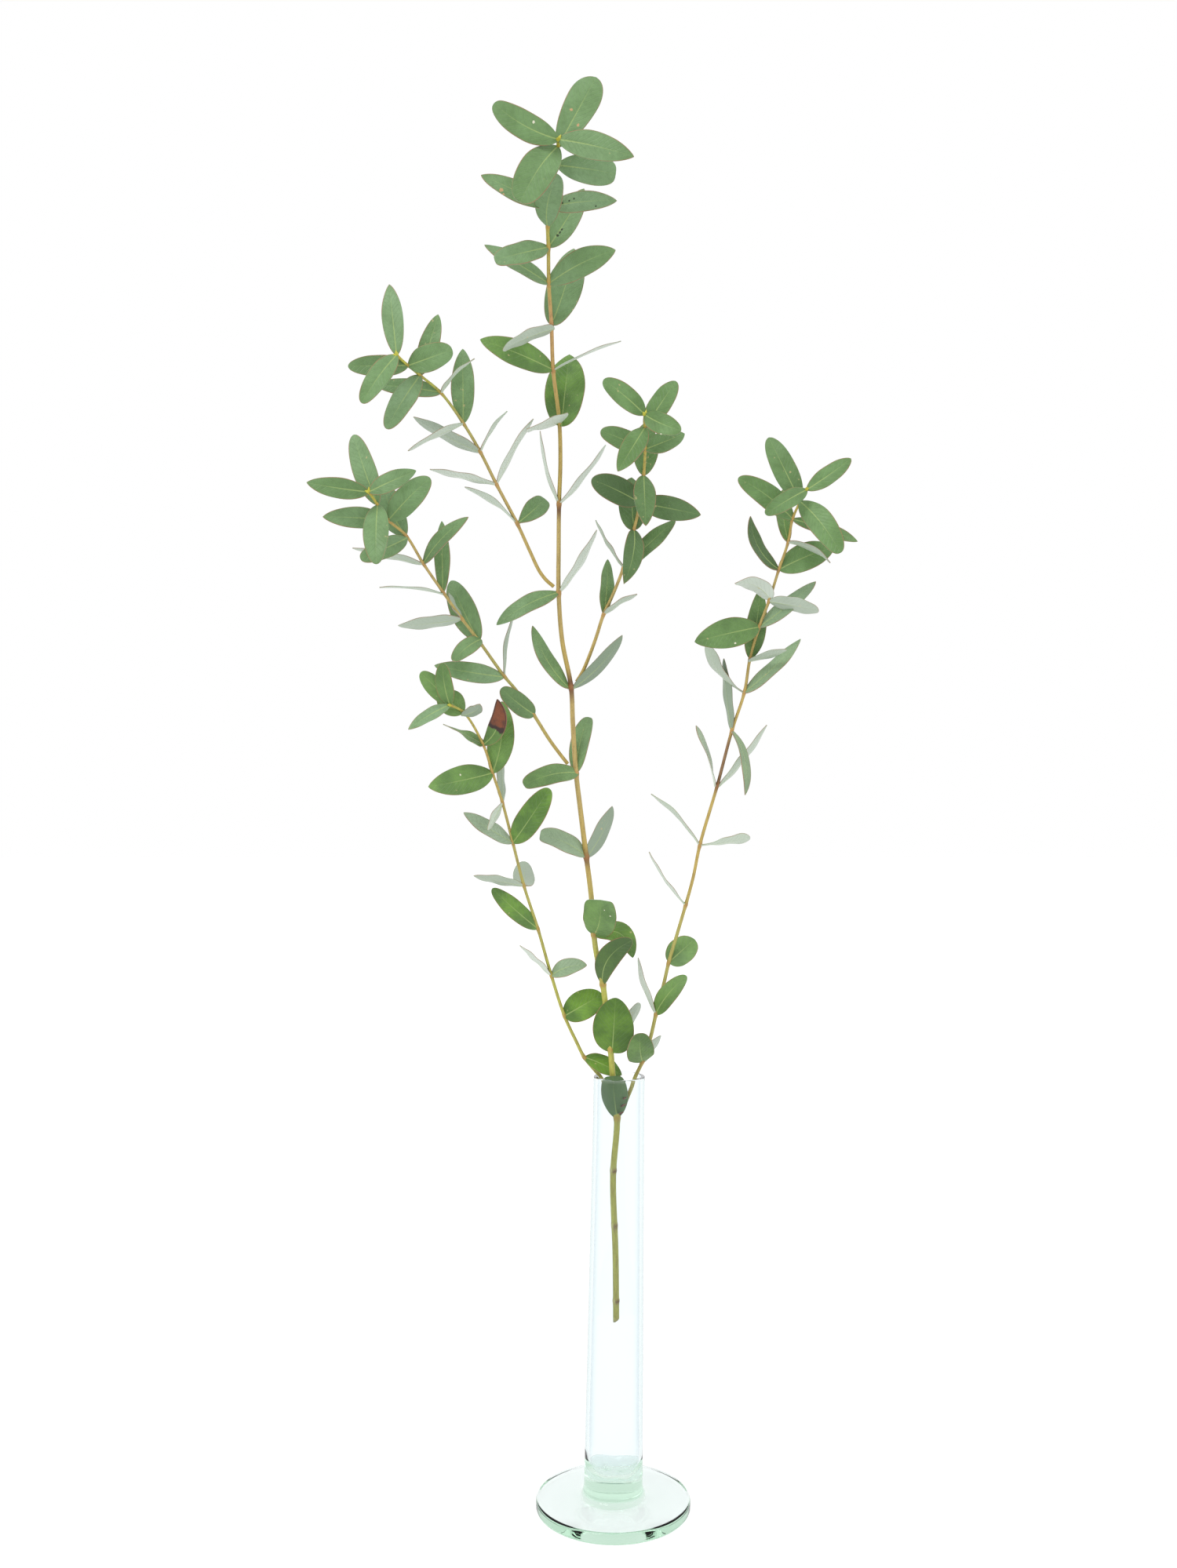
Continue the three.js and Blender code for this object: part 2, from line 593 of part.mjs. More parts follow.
// The vase, turned round its axis, with the tube leaning a little to the right above the foot.
function vaseGeometry() {
  const turned = new THREE.LatheGeometry(vaseProfile(), VASE_SIDES);
  turned.deleteAttribute('normal');
  turned.deleteAttribute('uv');
  turned.rotateX(Math.PI / 2);
  const geometry = mergeVertices(turned, SEAM);
  const position = geometry.getAttribute('position');
  for (let index = 0; index < position.count; index += 1) {
    const rise = Math.max(0, position.getZ(index) - FOOT_THICKNESS);
    const lean = (TUBE_LEAN * rise) / (VASE_HEIGHT - FOOT_THICKNESS);
    position.setX(index, position.getX(index) + lean);
  }
  geometry.computeVertexNormals();
  return geometry;
}

function addMesh(group, name, geometry, material) {
  const mesh = new THREE.Mesh(geometry, material);
  mesh.name = name;
  group.add(mesh);
}

const branch = new THREE.Group();
const glass = new THREE.MeshStandardMaterial({
  color: GLASS_TINT, roughness: 0.04, metalness: 0, transparent: true, opacity: 0.35,
});
addMesh(branch, 'vase', vaseGeometry(), glass);
for (const [name, points, footRadius, tipRadius] of SHOOTS) {
  const isLow = name.startsWith('low');
  const material = new THREE.MeshStandardMaterial({
    color: isLow ? LOW_LEAF_GREEN : LEAF_GREEN, roughness: 0.5, metalness: 0,
  });
  addMesh(branch, name, solidGeometry(shootSolid(points, footRadius, tipRadius)), material);
}

export default branch;
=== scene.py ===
import math
import random

import bpy
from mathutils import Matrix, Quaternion, Vector


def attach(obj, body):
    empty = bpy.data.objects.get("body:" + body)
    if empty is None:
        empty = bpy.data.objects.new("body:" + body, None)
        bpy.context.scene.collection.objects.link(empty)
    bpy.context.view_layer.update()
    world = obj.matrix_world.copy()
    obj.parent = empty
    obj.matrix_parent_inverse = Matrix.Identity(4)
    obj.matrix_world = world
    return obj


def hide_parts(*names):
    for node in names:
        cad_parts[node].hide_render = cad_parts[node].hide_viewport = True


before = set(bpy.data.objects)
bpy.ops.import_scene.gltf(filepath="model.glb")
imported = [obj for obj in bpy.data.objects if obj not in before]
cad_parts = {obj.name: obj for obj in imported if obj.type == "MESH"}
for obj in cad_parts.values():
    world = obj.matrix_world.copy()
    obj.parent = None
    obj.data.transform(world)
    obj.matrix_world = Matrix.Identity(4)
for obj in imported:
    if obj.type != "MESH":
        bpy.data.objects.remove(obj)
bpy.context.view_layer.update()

# A small-leaved eucalyptus branch in a clear glass bud vase. Sizes are in millimetres, and meshes
# are scaled to metres as they are made. +Z is up, +X is right and +Y is away from the front.
#
# Each shoot is a list of points from its foot to its tip, and each leaf grows from one point.
# Heights, sideways places and widths are given as they look from the front, on the upright plane
# through the vase, and are carried along the line of sight to their own depth.
MM = 0.001
EYE = Vector((-11.3, -688, 332))

# The photograph's frame and the lens that gives its angle of view.
PHOTO_HEIGHT_PX = 1999
FOCAL_LENGTH_PX = 1911
SENSOR = 36.0

# The vase: a blown tube on a thick disc.
FOOT_RADIUS = 35.4
FOOT_THICKNESS = 5.4
TUBE_RADIUS = 13.4
MOUTH_RADIUS = 11.8
WALL = 1.9
VASE_HEIGHT = 198
WELL_FLOOR = 16
TUBE_LEAN = 2.8
VASE_SIDES = 144

# The rounding of the foot's two edges and of the lip's.
FOOT_CORNER = 1.5
LIP_CORNER = 0.4
CORNER_STEPS = 6

# The foot's top, from the tube's side outwards and from the foot's flat upwards.
FOOT_RISE = [(17.8, 0), (13, 0.25), (6.5, 0.7), (3.2, 1.15), (1.6, 1.8), (0.8, 2.6), (0.3, 3.8),
             (0, 6.5)]

# The tube's straight sides: where they start outside and inside and where both end, and how
# much sooner than their end they reach the mouth's width.
OUTSIDE_START = 20
INSIDE_START = 28
TUBE_END = VASE_HEIGHT - 3
NARROWING = 1.1
TUBE_STEPS = 12

# The well's rounded bottom, from its side inwards and from its floor upwards, then the flat's
# share of its width and the dip in the middle.
WELL_CORNER = [(0, 8), (0.4, 5), (1.4, 2.8), (3.2, 1.2), (5.4, 0.4)]
WELL_FLAT = 0.3
WELL_DIP = 0.2

# The waves in the glass round the well's floor: size, how many go round and where they start,
# then how far from the floor they reach and how much of them goes sideways.
WELL_WAVES = [(0.5, 3, 0.7), (0.35, 5, 2)]
WAVE_REACH = 9
WAVE_SIDEWAYS = 0.4

# The leaves: least widths, the depth of the gutter as a share of the width, and the usual form.
BASE_WIDTH = 1.3
TIP_WIDTH = 0.25
GUTTER = 0.06
USUAL_FORM = {
    "twist": 0, "cup": 0, "arch": 0.07, "widest": 0.46, "base": 0.62, "tip": 0.75,
    "start": [0, 0, 0],
}

# A point is [right, up, back] and then its leaves. A leaf is [right and up of its tip, how far
# the tip lies behind its point, width, face, bow], and then what isn't as usual. The face is the
# angle in degrees from the upper side seen full on, through edge-on at 90, to the underside at
# 180. The bow is how far the middle of the midrib stands to the left of the straight line to the
# tip. Unusual may be a twist in degrees, a cup in millimetres, an arch as a share of the length,
# where the blade is widest as a share of the length, how pointed the base and tip are, from blunt
# at 0.2 to pointed at 1, and how far right, up and back of the stem's middle the blade starts.
MAIN_SHOOT = [
    [1.4, 86, 8.4],
    [1.1, 116, 4.4],
    [0, 152, -0.2],
    [1.8, 179, -3.8,
     [-0.2, 198, -4.2, 12, 176, 0.2, {"cup": 3.8, "arch": -0.1, "base": 0.6, "tip": 0.2}]],
    [-0.2, 198, -4.6],
    [-1.2, 210.5, -7.6,
     [1.2, 233.9, -6.5, 19.4, 12, 0, {"base": 0.42, "tip": 0.6, "start": [0.8, -1.6, 0]}],
     [12.2, 231.5, 7, 12, 118, -0.6, {"tip": 0.45}]],
    [-4, 235, -10.8],
    [-4.7, 240, -11.5, [8.8, 260.2, -11, 10.8, 14, 4.4, {"tip": 0.5, "widest": 0.52}]],
    [-7.8, 255, -13.3],
    [-8.8, 263, -14.3,
     [-6, 278.8, -15, 15.8, 12, -1.5, {"base": 0.42, "tip": 0.1, "widest": 0.62}],
     [9, 252.2, -3, 10.6, 20, 6.4, {"base": 0.45}]],
    [-10, 280, -16.5],
    [-12.3, 298.5, -19, [-0.4, 321.8, 2, 9, 140, -1.3, {"base": 0.55}],
     [-33.6, 308.6, -5, 11.2, 40, -1.8, {"base": 0.85, "tip": 0.22}]],
    [-15, 320, -21.8],
    [-17, 337, -24.3,
     [-41, 331.4, -11, 9.6, 20, -2, {"base": 0.5, "tip": 0.3, "start": [1, 0, 0]}],
     [-11.2, 362.6, 8, 9, 18, 1.3, {"tip": 0.32}]],
    [-18.5, 360, -27.4],
    [-19.3, 376.5, -30, [-37, 404.6, -3, 9, 40, 2.3, {"start": [-1, -0.5, 0]}],
     [4.2, 400.3, -8, 7.8, 140, -1.8, {"start": [0.9, -0.4, 0]}]],
    [-23.4, 398, -33.2],
    [-25, 419.8, -37, [-53.5, 405, -8, 9.6, 34, -1.7],
     [-7.5, 448.6, -2, 8.8, 112, -1.4, {"base": 0.75}]],
    [-25, 440, -40.4],
    [-24.8, 460.5, -44.5, [-33.5, 494, -2, 7.4, 102, 1.9],
     [-3.4, 487.6, -2, 8.4, 106, -1.4, {"base": 0.5}]],
    [-24.2, 480, -48.6],
    [-24.7, 498.5, -53, [-20, 529, 9, 18.4, 10, 0.2, {"base": 0.46, "start": [1, -2.2, 0]}],
     [-39.5, 494.9, -23, 17, 106, 0,
      {"base": 0.25, "widest": 0.25, "tip": 1, "start": [0.6, -0.2, -0.3]}]],
    [-27.5, 522, -59.5, [-61, 536, -5, 12.6, 20, -0.7], [3.6, 535.2, 0, 8.4, 94, 0.9]],
    [-28.3, 542.6, -67, [-18, 577.6, 8, 16.2, 10, -1.1, {"base": 0.5}],
     [-50.5, 531.6, -17, 9, 124, -0.8, {"base": 0.4, "tip": 0.45, "start": [1, -1.2, 0.3]}]],
    [-29.5, 561.5, -75.5, [-59, 579.4, -4, 9.6, 42, -0.4],
     [1.1, 577, -4, 12.6, 14, 1.6, {"widest": 0.5}]],
    [-29.7, 578.3, -84.5, [-54.4, 572.4, -8, 10.8, 28, -0.2, {"tip": 0.3}],
     [-13.4, 605.2, 3, 12, 12, -0.5, {"widest": 0.4}]],
    [-30, 588, -90.5,
     [-25.4, 611.9, -22, 12.8, 12, 2, {"base": 0.75, "tip": 0.42, "widest": 0.58}]],
    [-28.7, 597, -97, [-60.6, 611.4, -4, 10.6, 30, 0], [1.7, 599.7, -6, 9.8, 22, 0.8]],
    [-26.3, 616, -112, [1.2, 611.9, -2, 13.6, 12, 0.4, {"base": 0.8, "tip": 0.3, "widest": 0.62}]],
    [-25.3, 624.5, -119, [-7.8, 656.2, 4, 15.2, 10, 0, {"tip": 0.52, "widest": 0.62}],
     [-42.6, 599, -10, 17, 12, -1.6, {"tip": 0.36, "widest": 0.55}]],
    [-25, 627.8, -123, [-54.6, 644.4, -4, 12.7, 12, 2, {"tip": 0.42}],
     [9.6, 619.9, -6, 12.6, 12, 0.7, {"tip": 0.8}]],
]

LOW_LEFT_SHOOT = [
    [0.4, 180.8, -1.3],
    [-2.6, 189, -0.2],
    [-5.4, 197.1, 0.4],
    [-8.2, 200.4, 0],
    [-13.2, 206.5, -1.5, [3.9, 198.4, 3, 8.8, 22, 0.7]],
    [-17, 214, -3],
    [-22.3, 225.5, -5.5, [-5, 235.5, 2, 13.6, 12, 0, {"base": 0.48, "tip": 0.5}]],
    [-28.3, 244, -9.5, [-42.8, 257.9, -2, 7.4, 107, 0], [-12, 248.8, -4, 9, 30, 1.6]],
    [-34.5, 265.5, -14.5, [-55.5, 284, -4, 8.8, 14, 0.4, {"tip": 0.5}]],
    [-41, 285.5, -20, [-64, 289.9, -6, 6.6, 126, 0.1],
     [-40.6, 296.4, 17, 10.4, 166, 0, {"tip": 0.45}]],
    [-46, 305, -27.5, [-68.6, 318.9, -5, 8.6, 35, 0.3],
     [-29.2, 329.9, -12, 12.2, 12, -0.3, {"tip": 0.45}]],
    [-50.8, 323.5, -33.5, [-57.6, 310.8, -8, 4.4, 140, 0, {"base": 0.9}],
     [-51.4, 344, 4, 8.4, 116, 0]],
    [-55.3, 337, -40, [-84.8, 330.7, -8, 13.7, 14, 0.4], [-51, 370, -3, 12.2, 12, -2]],
    [-59.6, 350, -47,
     [-78, 359.4, -2, 9, 72, -0.4, {"twist": 44, "base": 0.45, "tip": 1.3, "widest": 0.3}],
     [-53.2, 371, -6, 8.4, 18, -3.8]],
    [-68.5, 364.8, -57, [-61.2, 368.6, -15, 6, 150, -1.4, {"base": 0.5, "start": [-0.8, -1, 0]}],
     [-80.5, 374, 0, 12, 12, 0]],
    [-74.8, 368.3, -62, [-88.4, 383, 0, 8.8, 12, -0.6, {"tip": 0.45}],
     [-78.2, 387.4, -6, 8.2, 12, 0.9, {"tip": 0.45}], [-94, 357, -9, 6.2, 20, -0.8]],
]

LOW_RIGHT_SHOOT = [
    [3.7, 181.2, -1.6],
    [6, 187, -0.8],
    [8.5, 193, -0.6],
    [10.1, 197.5, -1.2],
    [13.5, 204.7, -4, [12.2, 217.6, -14, 12.9, 10, 0.6, {"base": 0.5, "tip": 0.42}],
     [21.9, 216.5, 7, 9, 113, 0]],
    [17, 215, -6.4],
    [19.7, 226.5, -8, [11.5, 252.3, -2, 7.2, 110, 1.5],
     [33.7, 243.9, -10, 8.8, 12, 1.3, {"base": 0.5, "tip": 0.5}]],
    [23.3, 240.5, -10.6],
    [25.5, 250, -12, [37.3, 260.7, 4, 12.7, 12, 0, {"base": 0.45, "tip": 0.48}]],
    [30.5, 267, -15.5],
    [33.3, 276.5, -17.5, [16.5, 300.8, -2, 6.4, 100, 1.4]],
    [36.7, 289, -19.5],
    [39.8, 304, -22, [17.4, 327.4, -3, 7.6, 102, -1.4, {"base": 1, "widest": 0.66}],
     [62.8, 307.7, -4, 8, 114, -0.5, {"twist": 34, "base": 1.2, "tip": 0.45, "widest": 0.72}]],
    [47.8, 331.3, -26, [38, 358.8, -5, 7.6, 78, -0.9, {"twist": -50, "start": [-0.8, -0.3, 0]}],
     [70.5, 359.1, -3, 7.6, 112, -1.2, {"start": [0.6, -0.3, 0]}]],
    [54.5, 356.5, -30, [50.8, 389.6, -1, 8.4, 118, 0.4], [60.5, 326.9, -8, 7.8, 60, 3]],
    [60.2, 374, -33,
     [43.2, 396.2, -2, 8.6, 116, 3.2, {"twist": 44, "base": 0.9, "tip": 0.5, "widest": 0.65}],
     [86, 398.5, -4, 8.4, 44, -1.1, {"base": 0.5}]],
    [62.8, 389.5, -36, [67.6, 421.6, 2, 9.8, 14, -0.5, {"widest": 0.38}],
     [79.2, 393.8, -12, 7, 116, -0.3, {"tip": 0.45, "start": [-0.6, -1, -0.3]}]],
    [67, 404, -39.5, [37.4, 397.2, -6, 13.9, 12, -0.3], [93, 424.9, -2, 9, 40, -0.6]],
    [71.5, 416, -43.5, [55.9, 424, -8, 10.8, 129, -3, {"base": 0.4, "start": [0.7, 0.8, -0.3]}],
     [94.2, 412, -10, 9.8, 132, 0, {"tip": 0.4}]],
    [76, 430.3, -49, [63, 454.9, -3, 8, 45, 3.5], [101.6, 440.6, 0, 12.9, 12, 0.9]],
    [80.3, 443, -54.5, [77.8, 467, 4, 7.6, 26, 1], [99.6, 433.5, -8, 6.6, 110, 2]],
    [82.3, 453.5, -60, [57.4, 472.4, -4, 10.9, 12, -1.5, {"tip": 0.5}],
     [112.1, 443.3, 2, 7.6, 32, 0.6]],
    [85.8, 461.5, -65, [104.2, 438, -12, 12.1, 12, 1.5, {"tip": 0.42}],
     [71.3, 490.9, 4, 11.2, 12, -0.1, {"tip": 0.5}]],
    [88.8, 467, -69, [69.9, 455.8, -7, 8.6, 12, -0.4, {"tip": 0.45}],
     [109.1, 481.3, -3, 8.6, 12, -0.3, {"tip": 0.58}]],
]

MID_LEFT_SHOOT = [
    [-20.9, 341.3, -23.9],
    [-23.2, 344.2, -24.6],
    [-29, 352, -27],
    [-36.8, 364.3, -31,
     [-51.3, 376, -8, 9.6, 12, 0.6, {"base": 0.45, "tip": 0.42, "start": [0.6, -0.4, 0]}]],
    [-44.5, 375, -34.5],
    [-50, 381.5, -37, [-82, 386.4, -5, 9.4, 12, 0.4, {"start": [0, -0.4, 0]}],
     [-45.7, 410, 2, 7.4, 102, 0.9]],
    [-61.5, 397.5, -44,
     [-73.6, 388.5, -15, 8, 14, -1, {"base": 0.45, "tip": 0.45, "start": [0.7, 0.7, 0]}],
     [-74.4, 425.2, 5, 12.6, 12, 0.5, {"tip": 0.58}]],
    [-69.5, 408, -49, [-98.6, 404.7, -7, 8.8, 129, 0.5], [-75.6, 419.8, -2, 6.4, 112, 0]],
    [-78, 420, -55, [-107.2, 422.2, -3, 7.4, 95, -1.1, {"start": [0, -0.6, 0]}],
     [-78.6, 452.6, 2, 8, 26, 0]],
    [-87, 433, -62, [-119.6, 440.3, -2, 7.6, 114, 0], [-66.4, 454.5, -4, 8, 34, 1.9]],
    [-95, 446, -69, [-116, 435.4, -8, 9.6, 14, 0.3, {"tip": 0.4, "start": [0.4, -1, 0]}],
     [-104.5, 471, 5, 12.4, 12, 2.4]],
    [-103, 453, -76, [-84, 472.5, -5, 12.4, 12, 0.6, {"tip": 0.5}],
     [-133.2, 454.6, -5, 10, 12, -0.4]],
    [-108, 460, -82, [-108.6, 432.9, -12, 12, 12, -0.5, {"tip": 0.5}],
     [-119, 492.2, 4, 11.1, 12, 0.5, {"tip": 0.5}]],
    [-112, 466, -87, [-140.6, 470.4, -4, 9.7, 12, 0.4], [-90.4, 475.8, -6, 9, 14, 0.3]],
]

MID_RIGHT_SHOOT = [
    [-16.7, 379, -28.1],
    [-14, 383.5, -27.8],
    [-10.9, 390.8, -29.4],
    [-7.9, 399, -33.2],
    [-4.3, 410, -38, [-2.5, 435.1, 2, 7.6, 34, -0.4],
     [10.9, 419.1, -8, 6.4, 111, 0.5, {"tip": 0.45}]],
    [-0.5, 418, -40.4],
    [4.8, 431.5, -44.5, [-8, 453.1, -2, 6, 103, 1], [28.7, 453.3, 2, 9.2, 33, 0]],
    [9.5, 448.5, -50, [4.9, 423.8, -13, 9.3, 12, 1.7, {"base": 0.45, "tip": 0.9}],
     [8.5, 472.6, 6, 13, 12, 0.4, {"base": 0.45}]],
    [12.3, 461, -55, [-9.9, 471.8, -5, 12.6, 12, -0.6, {"tip": 0.5}],
     [40.2, 455.5, -4, 11.3, 12, 0.1]],
    [14, 473.5, -61, [15, 450.5, -13, 10.4, 12, 0], [15.5, 498, 6, 12, 12, 0]],
    [14.7, 485.5, -67.5, [32.8, 492.7, 1, 9.8, 20, 0],
     [-5.7, 494.1, -3, 9.8, 12, -0.3, {"tip": 0.45}]],
    [14.5, 495.5, -74, [2.1, 475.5, -11, 10.6, 12, 0],
     [28.7, 516.8, 5, 10.2, 12, 0, {"tip": 0.5}]],
    [14.5, 501.5, -78, [-4.4, 517.5, -4, 10, 12, -0.6, {"tip": 0.45}],
     [31.2, 494.2, -7, 9.9, 12, -0.7, {"tip": 0.5}]],
]

UPPER_LEFT_SHOOT = [
    [-27.3, 422.6, -36.4],
    [-31, 425.9, -37.6],
    [-34, 430, -38.8],
    [-38, 438.4, -41.3],
    [-44, 451.5, -45.6,
     [-31.3, 462.7, 10, 9.7, 12, -0.3, {"base": 1.1, "tip": 0.36, "widest": 0.62}],
     [-68.1, 468.3, -4, 7.2, 108, -1.8, {"twist": 30}]],
    [-53.5, 469.5, -51.5, [-84.1, 476.4, -6, 6.8, 117, 0], [-36.6, 499.6, -2, 6.6, 114, 0.9]],
    [-61, 484.5, -57, [-91.6, 500.5, -4, 9.2, 126, 0.7, {"base": 0.5}],
     [-48.6, 503.1, -2, 6.8, 100, 1]],
    [-68.7, 497.5, -63, [-94.1, 484.9, -11, 7, 112, -0.6], [-69, 531.6, 0, 11, 12, 0]],
    [-79, 511.5, -71, [-109.6, 515, -4, 8.5, 22, -0.7], [-63.6, 527.2, -10, 6.6, 101, 1.3]],
    [-88.5, 519.5, -79, [-104, 495, -11, 10.7, 12, -0.6, {"tip": 0.45}],
     [-80.3, 547.4, 5, 9.2, 12, 0]],
    [-94, 524, -85, [-121.6, 523.8, -5, 9.8, 12, 0, {"tip": 0.5}],
     [-73.8, 531.4, -4, 12.4, 12, 0, {"tip": 0.42}]],
    [-99.3, 528.8, -90, [-102.7, 561.2, 3, 10, 12, 0],
     [-115.3, 506.8, -10, 10.2, 12, -0.9, {"tip": 0.45}]],
]

# Each shoot: its node, its points, its stem's radius at the foot and at the tip, how strong the
# pale bloom on its leaves is, and its finish slot.
SHOOTS = [
    ("main_shoot", MAIN_SHOOT, 1.4, 0.55, 0.55, "gum_leaves"),
    ("low_left_shoot", LOW_LEFT_SHOOT, 0.85, 0.5, 0.2, "low_gum_leaves"),
    ("low_right_shoot", LOW_RIGHT_SHOOT, 0.9, 0.5, 0.15, "low_gum_leaves"),
    ("mid_left_shoot", MID_LEFT_SHOOT, 0.8, 0.5, 0.4, "gum_leaves"),
    ("mid_right_shoot", MID_RIGHT_SHOOT, 0.8, 0.5, 0.12, "gum_leaves"),
    ("upper_left_shoot", UPPER_LEFT_SHOOT, 0.8, 0.5, 0.4, "gum_leaves"),
]

# The blade's fine form: thickness at the midrib, the margin and the stalk, the midrib's groove
# above and ridge below, the ripple of the margin and how often it waves, and how sharply a cup
# turns up. Then the rows along a blade and the columns across it.
RIB_THICKNESS = 0.5
MARGIN_THICKNESS = 0.26
PETIOLE_THICKNESS = 0.9
PETIOLE_LENGTH = 1.5
GROOVE = 0.1
RIDGE = 0.2
RIDGE_HALF_WIDTH = 0.32
RIPPLE = 0.3
RIPPLE_WAVES = (1.2, 2.4)
HOLLOW_POWER = 1.2
LEAF_ROWS = 30
LEAF_COLUMNS = [-1, -0.94, -0.83, -0.65, -0.45, -0.25, -0.11, -0.045, 0,
                0.045, 0.11, 0.25, 0.45, 0.65, 0.83, 0.94, 1]

# How finely a blade is searched for the place of a blemish.
SEARCH_ROWS = 40
SEARCH_SIDES = 8

# The stems: corners round them, the step along them, the low ribs of the bark, the swelling and
# the colour at nodes, the slant of the cut end, and the least step along a curve.
STEM_SIDES = 14
STEM_STEP = 0.9
STEM_RIBS = 4
RIB_HEIGHT = 0.05
NODE_SWELLING = 0.3
NODE_REACH = 1.3
NODE_SHARE = 0.5
CUT_SLANT = 0.6
NUDGE = 1e-4

# Old leaf scars on the stretch of stem inside the vase, by height. One side of them is dark.
SCAR_HEIGHTS = [92.5, 128.5, 155]
SCAR_HALF_HEIGHT = 1.1
SCAR_SHARE = 0.6
SCORCHED_SIDE = 0.6
SCORCH_SPREAD = 1.6
SCAR_SEARCH = 2000

# The buds at each tip, and their rings.
BUD_LENGTH = 2.6
BUD_RADIUS = 0.75
BUD_LEAN = 0.5
BUD_SUNK = 0.4
BUD_ROWS = 8
BUD_SIDES = 10
BUD_FOOT = 0.12
BUD_FULLNESS = 0.7
BUD_POINT = 0.02

# Shreds of torn bark at the fork inside the vase: right, up and back as seen, and length.
SHREDS = [(3.6, 184, -6.2, 3.4), (2.8, 180.6, -6, 2.6), (4.6, 187.5, -6.2, 2.2)]
SHRED_LEAN = (0.8, -0.2, 0.5)
SHRED_RADIUS = 0.5

# Leaves are yellow-green below the first height and grey-green above the second.
LOW_LEAVES_END = 300
HIGH_LEAVES_START = 440

# How silvery most undersides are.
SILVER = 0.85

# Leaves that differ from their neighbours, by point on the stem and order at that point. Each
# trait is a share from 0 to 1: dark (painted shade on leaves that lie in shadow, partly their
# own deeper green), fresh (yellow-green), bloom, silver (the underside's), frost (silver on the
# upper side) and dry.
LOOKS = {
    "main_shoot": {
        "dark": {(3, 0): 0.5, (5, 0): 0.24, (5, 1): 0.3, (7, 0): 0.68, (11, 0): 0.7,
            (13, 0): 0.2, (13, 1): 0.1, (15, 1): 0.8, (22, 0): 0.1, (23, 1): 0.25},
        "fresh": {(9, 0): 0.6, (21, 0): 0.7, (22, 0): 0.6},
        "bloom": {(3, 0): 0.6, (5, 0): 0, (5, 1): 0, (7, 0): 0.2, (9, 0): 0.3, (9, 1): 0.1,
            (11, 1): 0.8, (21, 0): 0.1, (22, 0): 0.1, (25, 0): 0.75, (26, 0): 0.95,
            (27, 1): 0.75, (28, 0): 0.85, (29, 1): 0.3, (30, 0): 0.3, (30, 1): 0.4},
        "silver": {(3, 0): 0, (17, 1): 1, (19, 0): 1, (19, 1): 1, (22, 1): 1},
        "frost": {(11, 1): 0.25},
    },
    "low_left_shoot": {
        "dark": {(9, 0): 0.3, (9, 1): 0.35, (11, 1): 0.6, (13, 1): 0.2, (14, 0): 0.7,
            (15, 0): 0.1, (15, 1): 0.1},
        "fresh": {(4, 0): 1},
        "bloom": {(4, 0): 0, (6, 0): 0, (7, 1): 0.9, (10, 0): 0.95, (10, 1): 0.1,
            (15, 0): 0.15, (15, 2): 0.8},
        "silver": {(7, 0): 1, (13, 0): 1},
        "frost": {(7, 1): 0.2, (10, 0): 0.35},
        "dry": {(13, 1): 1},
    },
    "low_right_shoot": {
        "dark": {(4, 0): 0.25, (4, 1): 0.4, (6, 1): 0.1, (8, 0): 0.1, (13, 1): 0.15,
            (14, 0): 0.75, (14, 1): 0.15, (15, 0): 0.25, (16, 0): 0.3, (16, 1): 0.25,
            (17, 0): 0.15, (18, 1): 0.2, (19, 0): 0.55, (20, 1): 0.2, (22, 1): 0.15, (23, 0): 0.1},
        "fresh": {(20, 0): 0.4},
        "bloom": {(4, 0): 0.4, (6, 1): 0.35, (8, 0): 0.4, (15, 1): 0.8, (17, 1): 0.8},
        "silver": {(6, 0): 1, (10, 0): 1, (13, 0): 1, (18, 0): 1},
        "frost": {(13, 0): 0.5, (14, 1): 0.25, (15, 1): 0.15, (17, 1): 0.1},
    },
    "mid_left_shoot": {
        "dark": {(3, 0): 0.35, (5, 1): 0.5, (7, 0): 0.25, (7, 1): 0.55, (9, 0): 0.15,
            (13, 0): 0.15},
        "bloom": {(5, 0): 0.7, (6, 1): 0.6, (10, 0): 0.7, (10, 1): 0.6, (13, 0): 0.2},
    },
    "mid_right_shoot": {
        "dark": {(4, 0): 0.1, (4, 1): 0.25, (6, 0): 0.3, (6, 1): 0.15, (7, 0): 0.4, (7, 1): 0.35,
            (8, 0): 0.6, (8, 1): 0.4, (9, 0): 0.25, (10, 1): 0.15},
        "bloom": {(4, 0): 0.3, (10, 0): 0.3},
    },
    "upper_left_shoot": {
        "dark": {(6, 0): 0.35, (10, 0): 0.1},
        "bloom": {(9, 0): 0.8, (11, 0): 0.6},
        "silver": {(5, 0): 1, (5, 1): 1},
    },
}

# Blemishes on each shoot's leaves: point, order, the place as seen from the front, radius, kind.
MARKS = {
    "main_shoot": [
        (25, 1, -25.2, 583.5, 0.7, "dark"), (25, 1, -24.3, 585, 0.6, "dark"),
        (25, 1, -23.4, 587, 0.5, "dark"), (27, 0, -51.5, 604.5, 0.9, "tan"),
        (27, 0, -50.6, 603, 0.5, "tan"), (27, 0, -38, 598.5, 0.4, "tan"),
        (27, 1, -23, 598.5, 0.4, "dark"), (27, 1, -20.5, 599.5, 0.4, "dark"),
        (27, 1, -18, 601, 0.4, "dark"), (27, 1, -8.3, 597.3, 0.5, "dark"),
        (29, 0, -19, 641, 0.7, "tan"), (29, 0, -16, 635, 0.6, "tan"),
        (30, 0, -36.5, 635.5, 0.6, "pale"), (9, 0, -1, 271, 0.4, "pale"),
        (9, 0, -3.6, 274, 0.3, "pale"),
    ],
    "low_left_shoot": [(12, 0, -70, 336.5, 0.5, "pale")],
    "low_right_shoot": [(17, 0, 56, 397, 0.5, "pale")],
    "mid_right_shoot": [(12, 1, 21.8, 492.3, 0.6, "pale")],
}


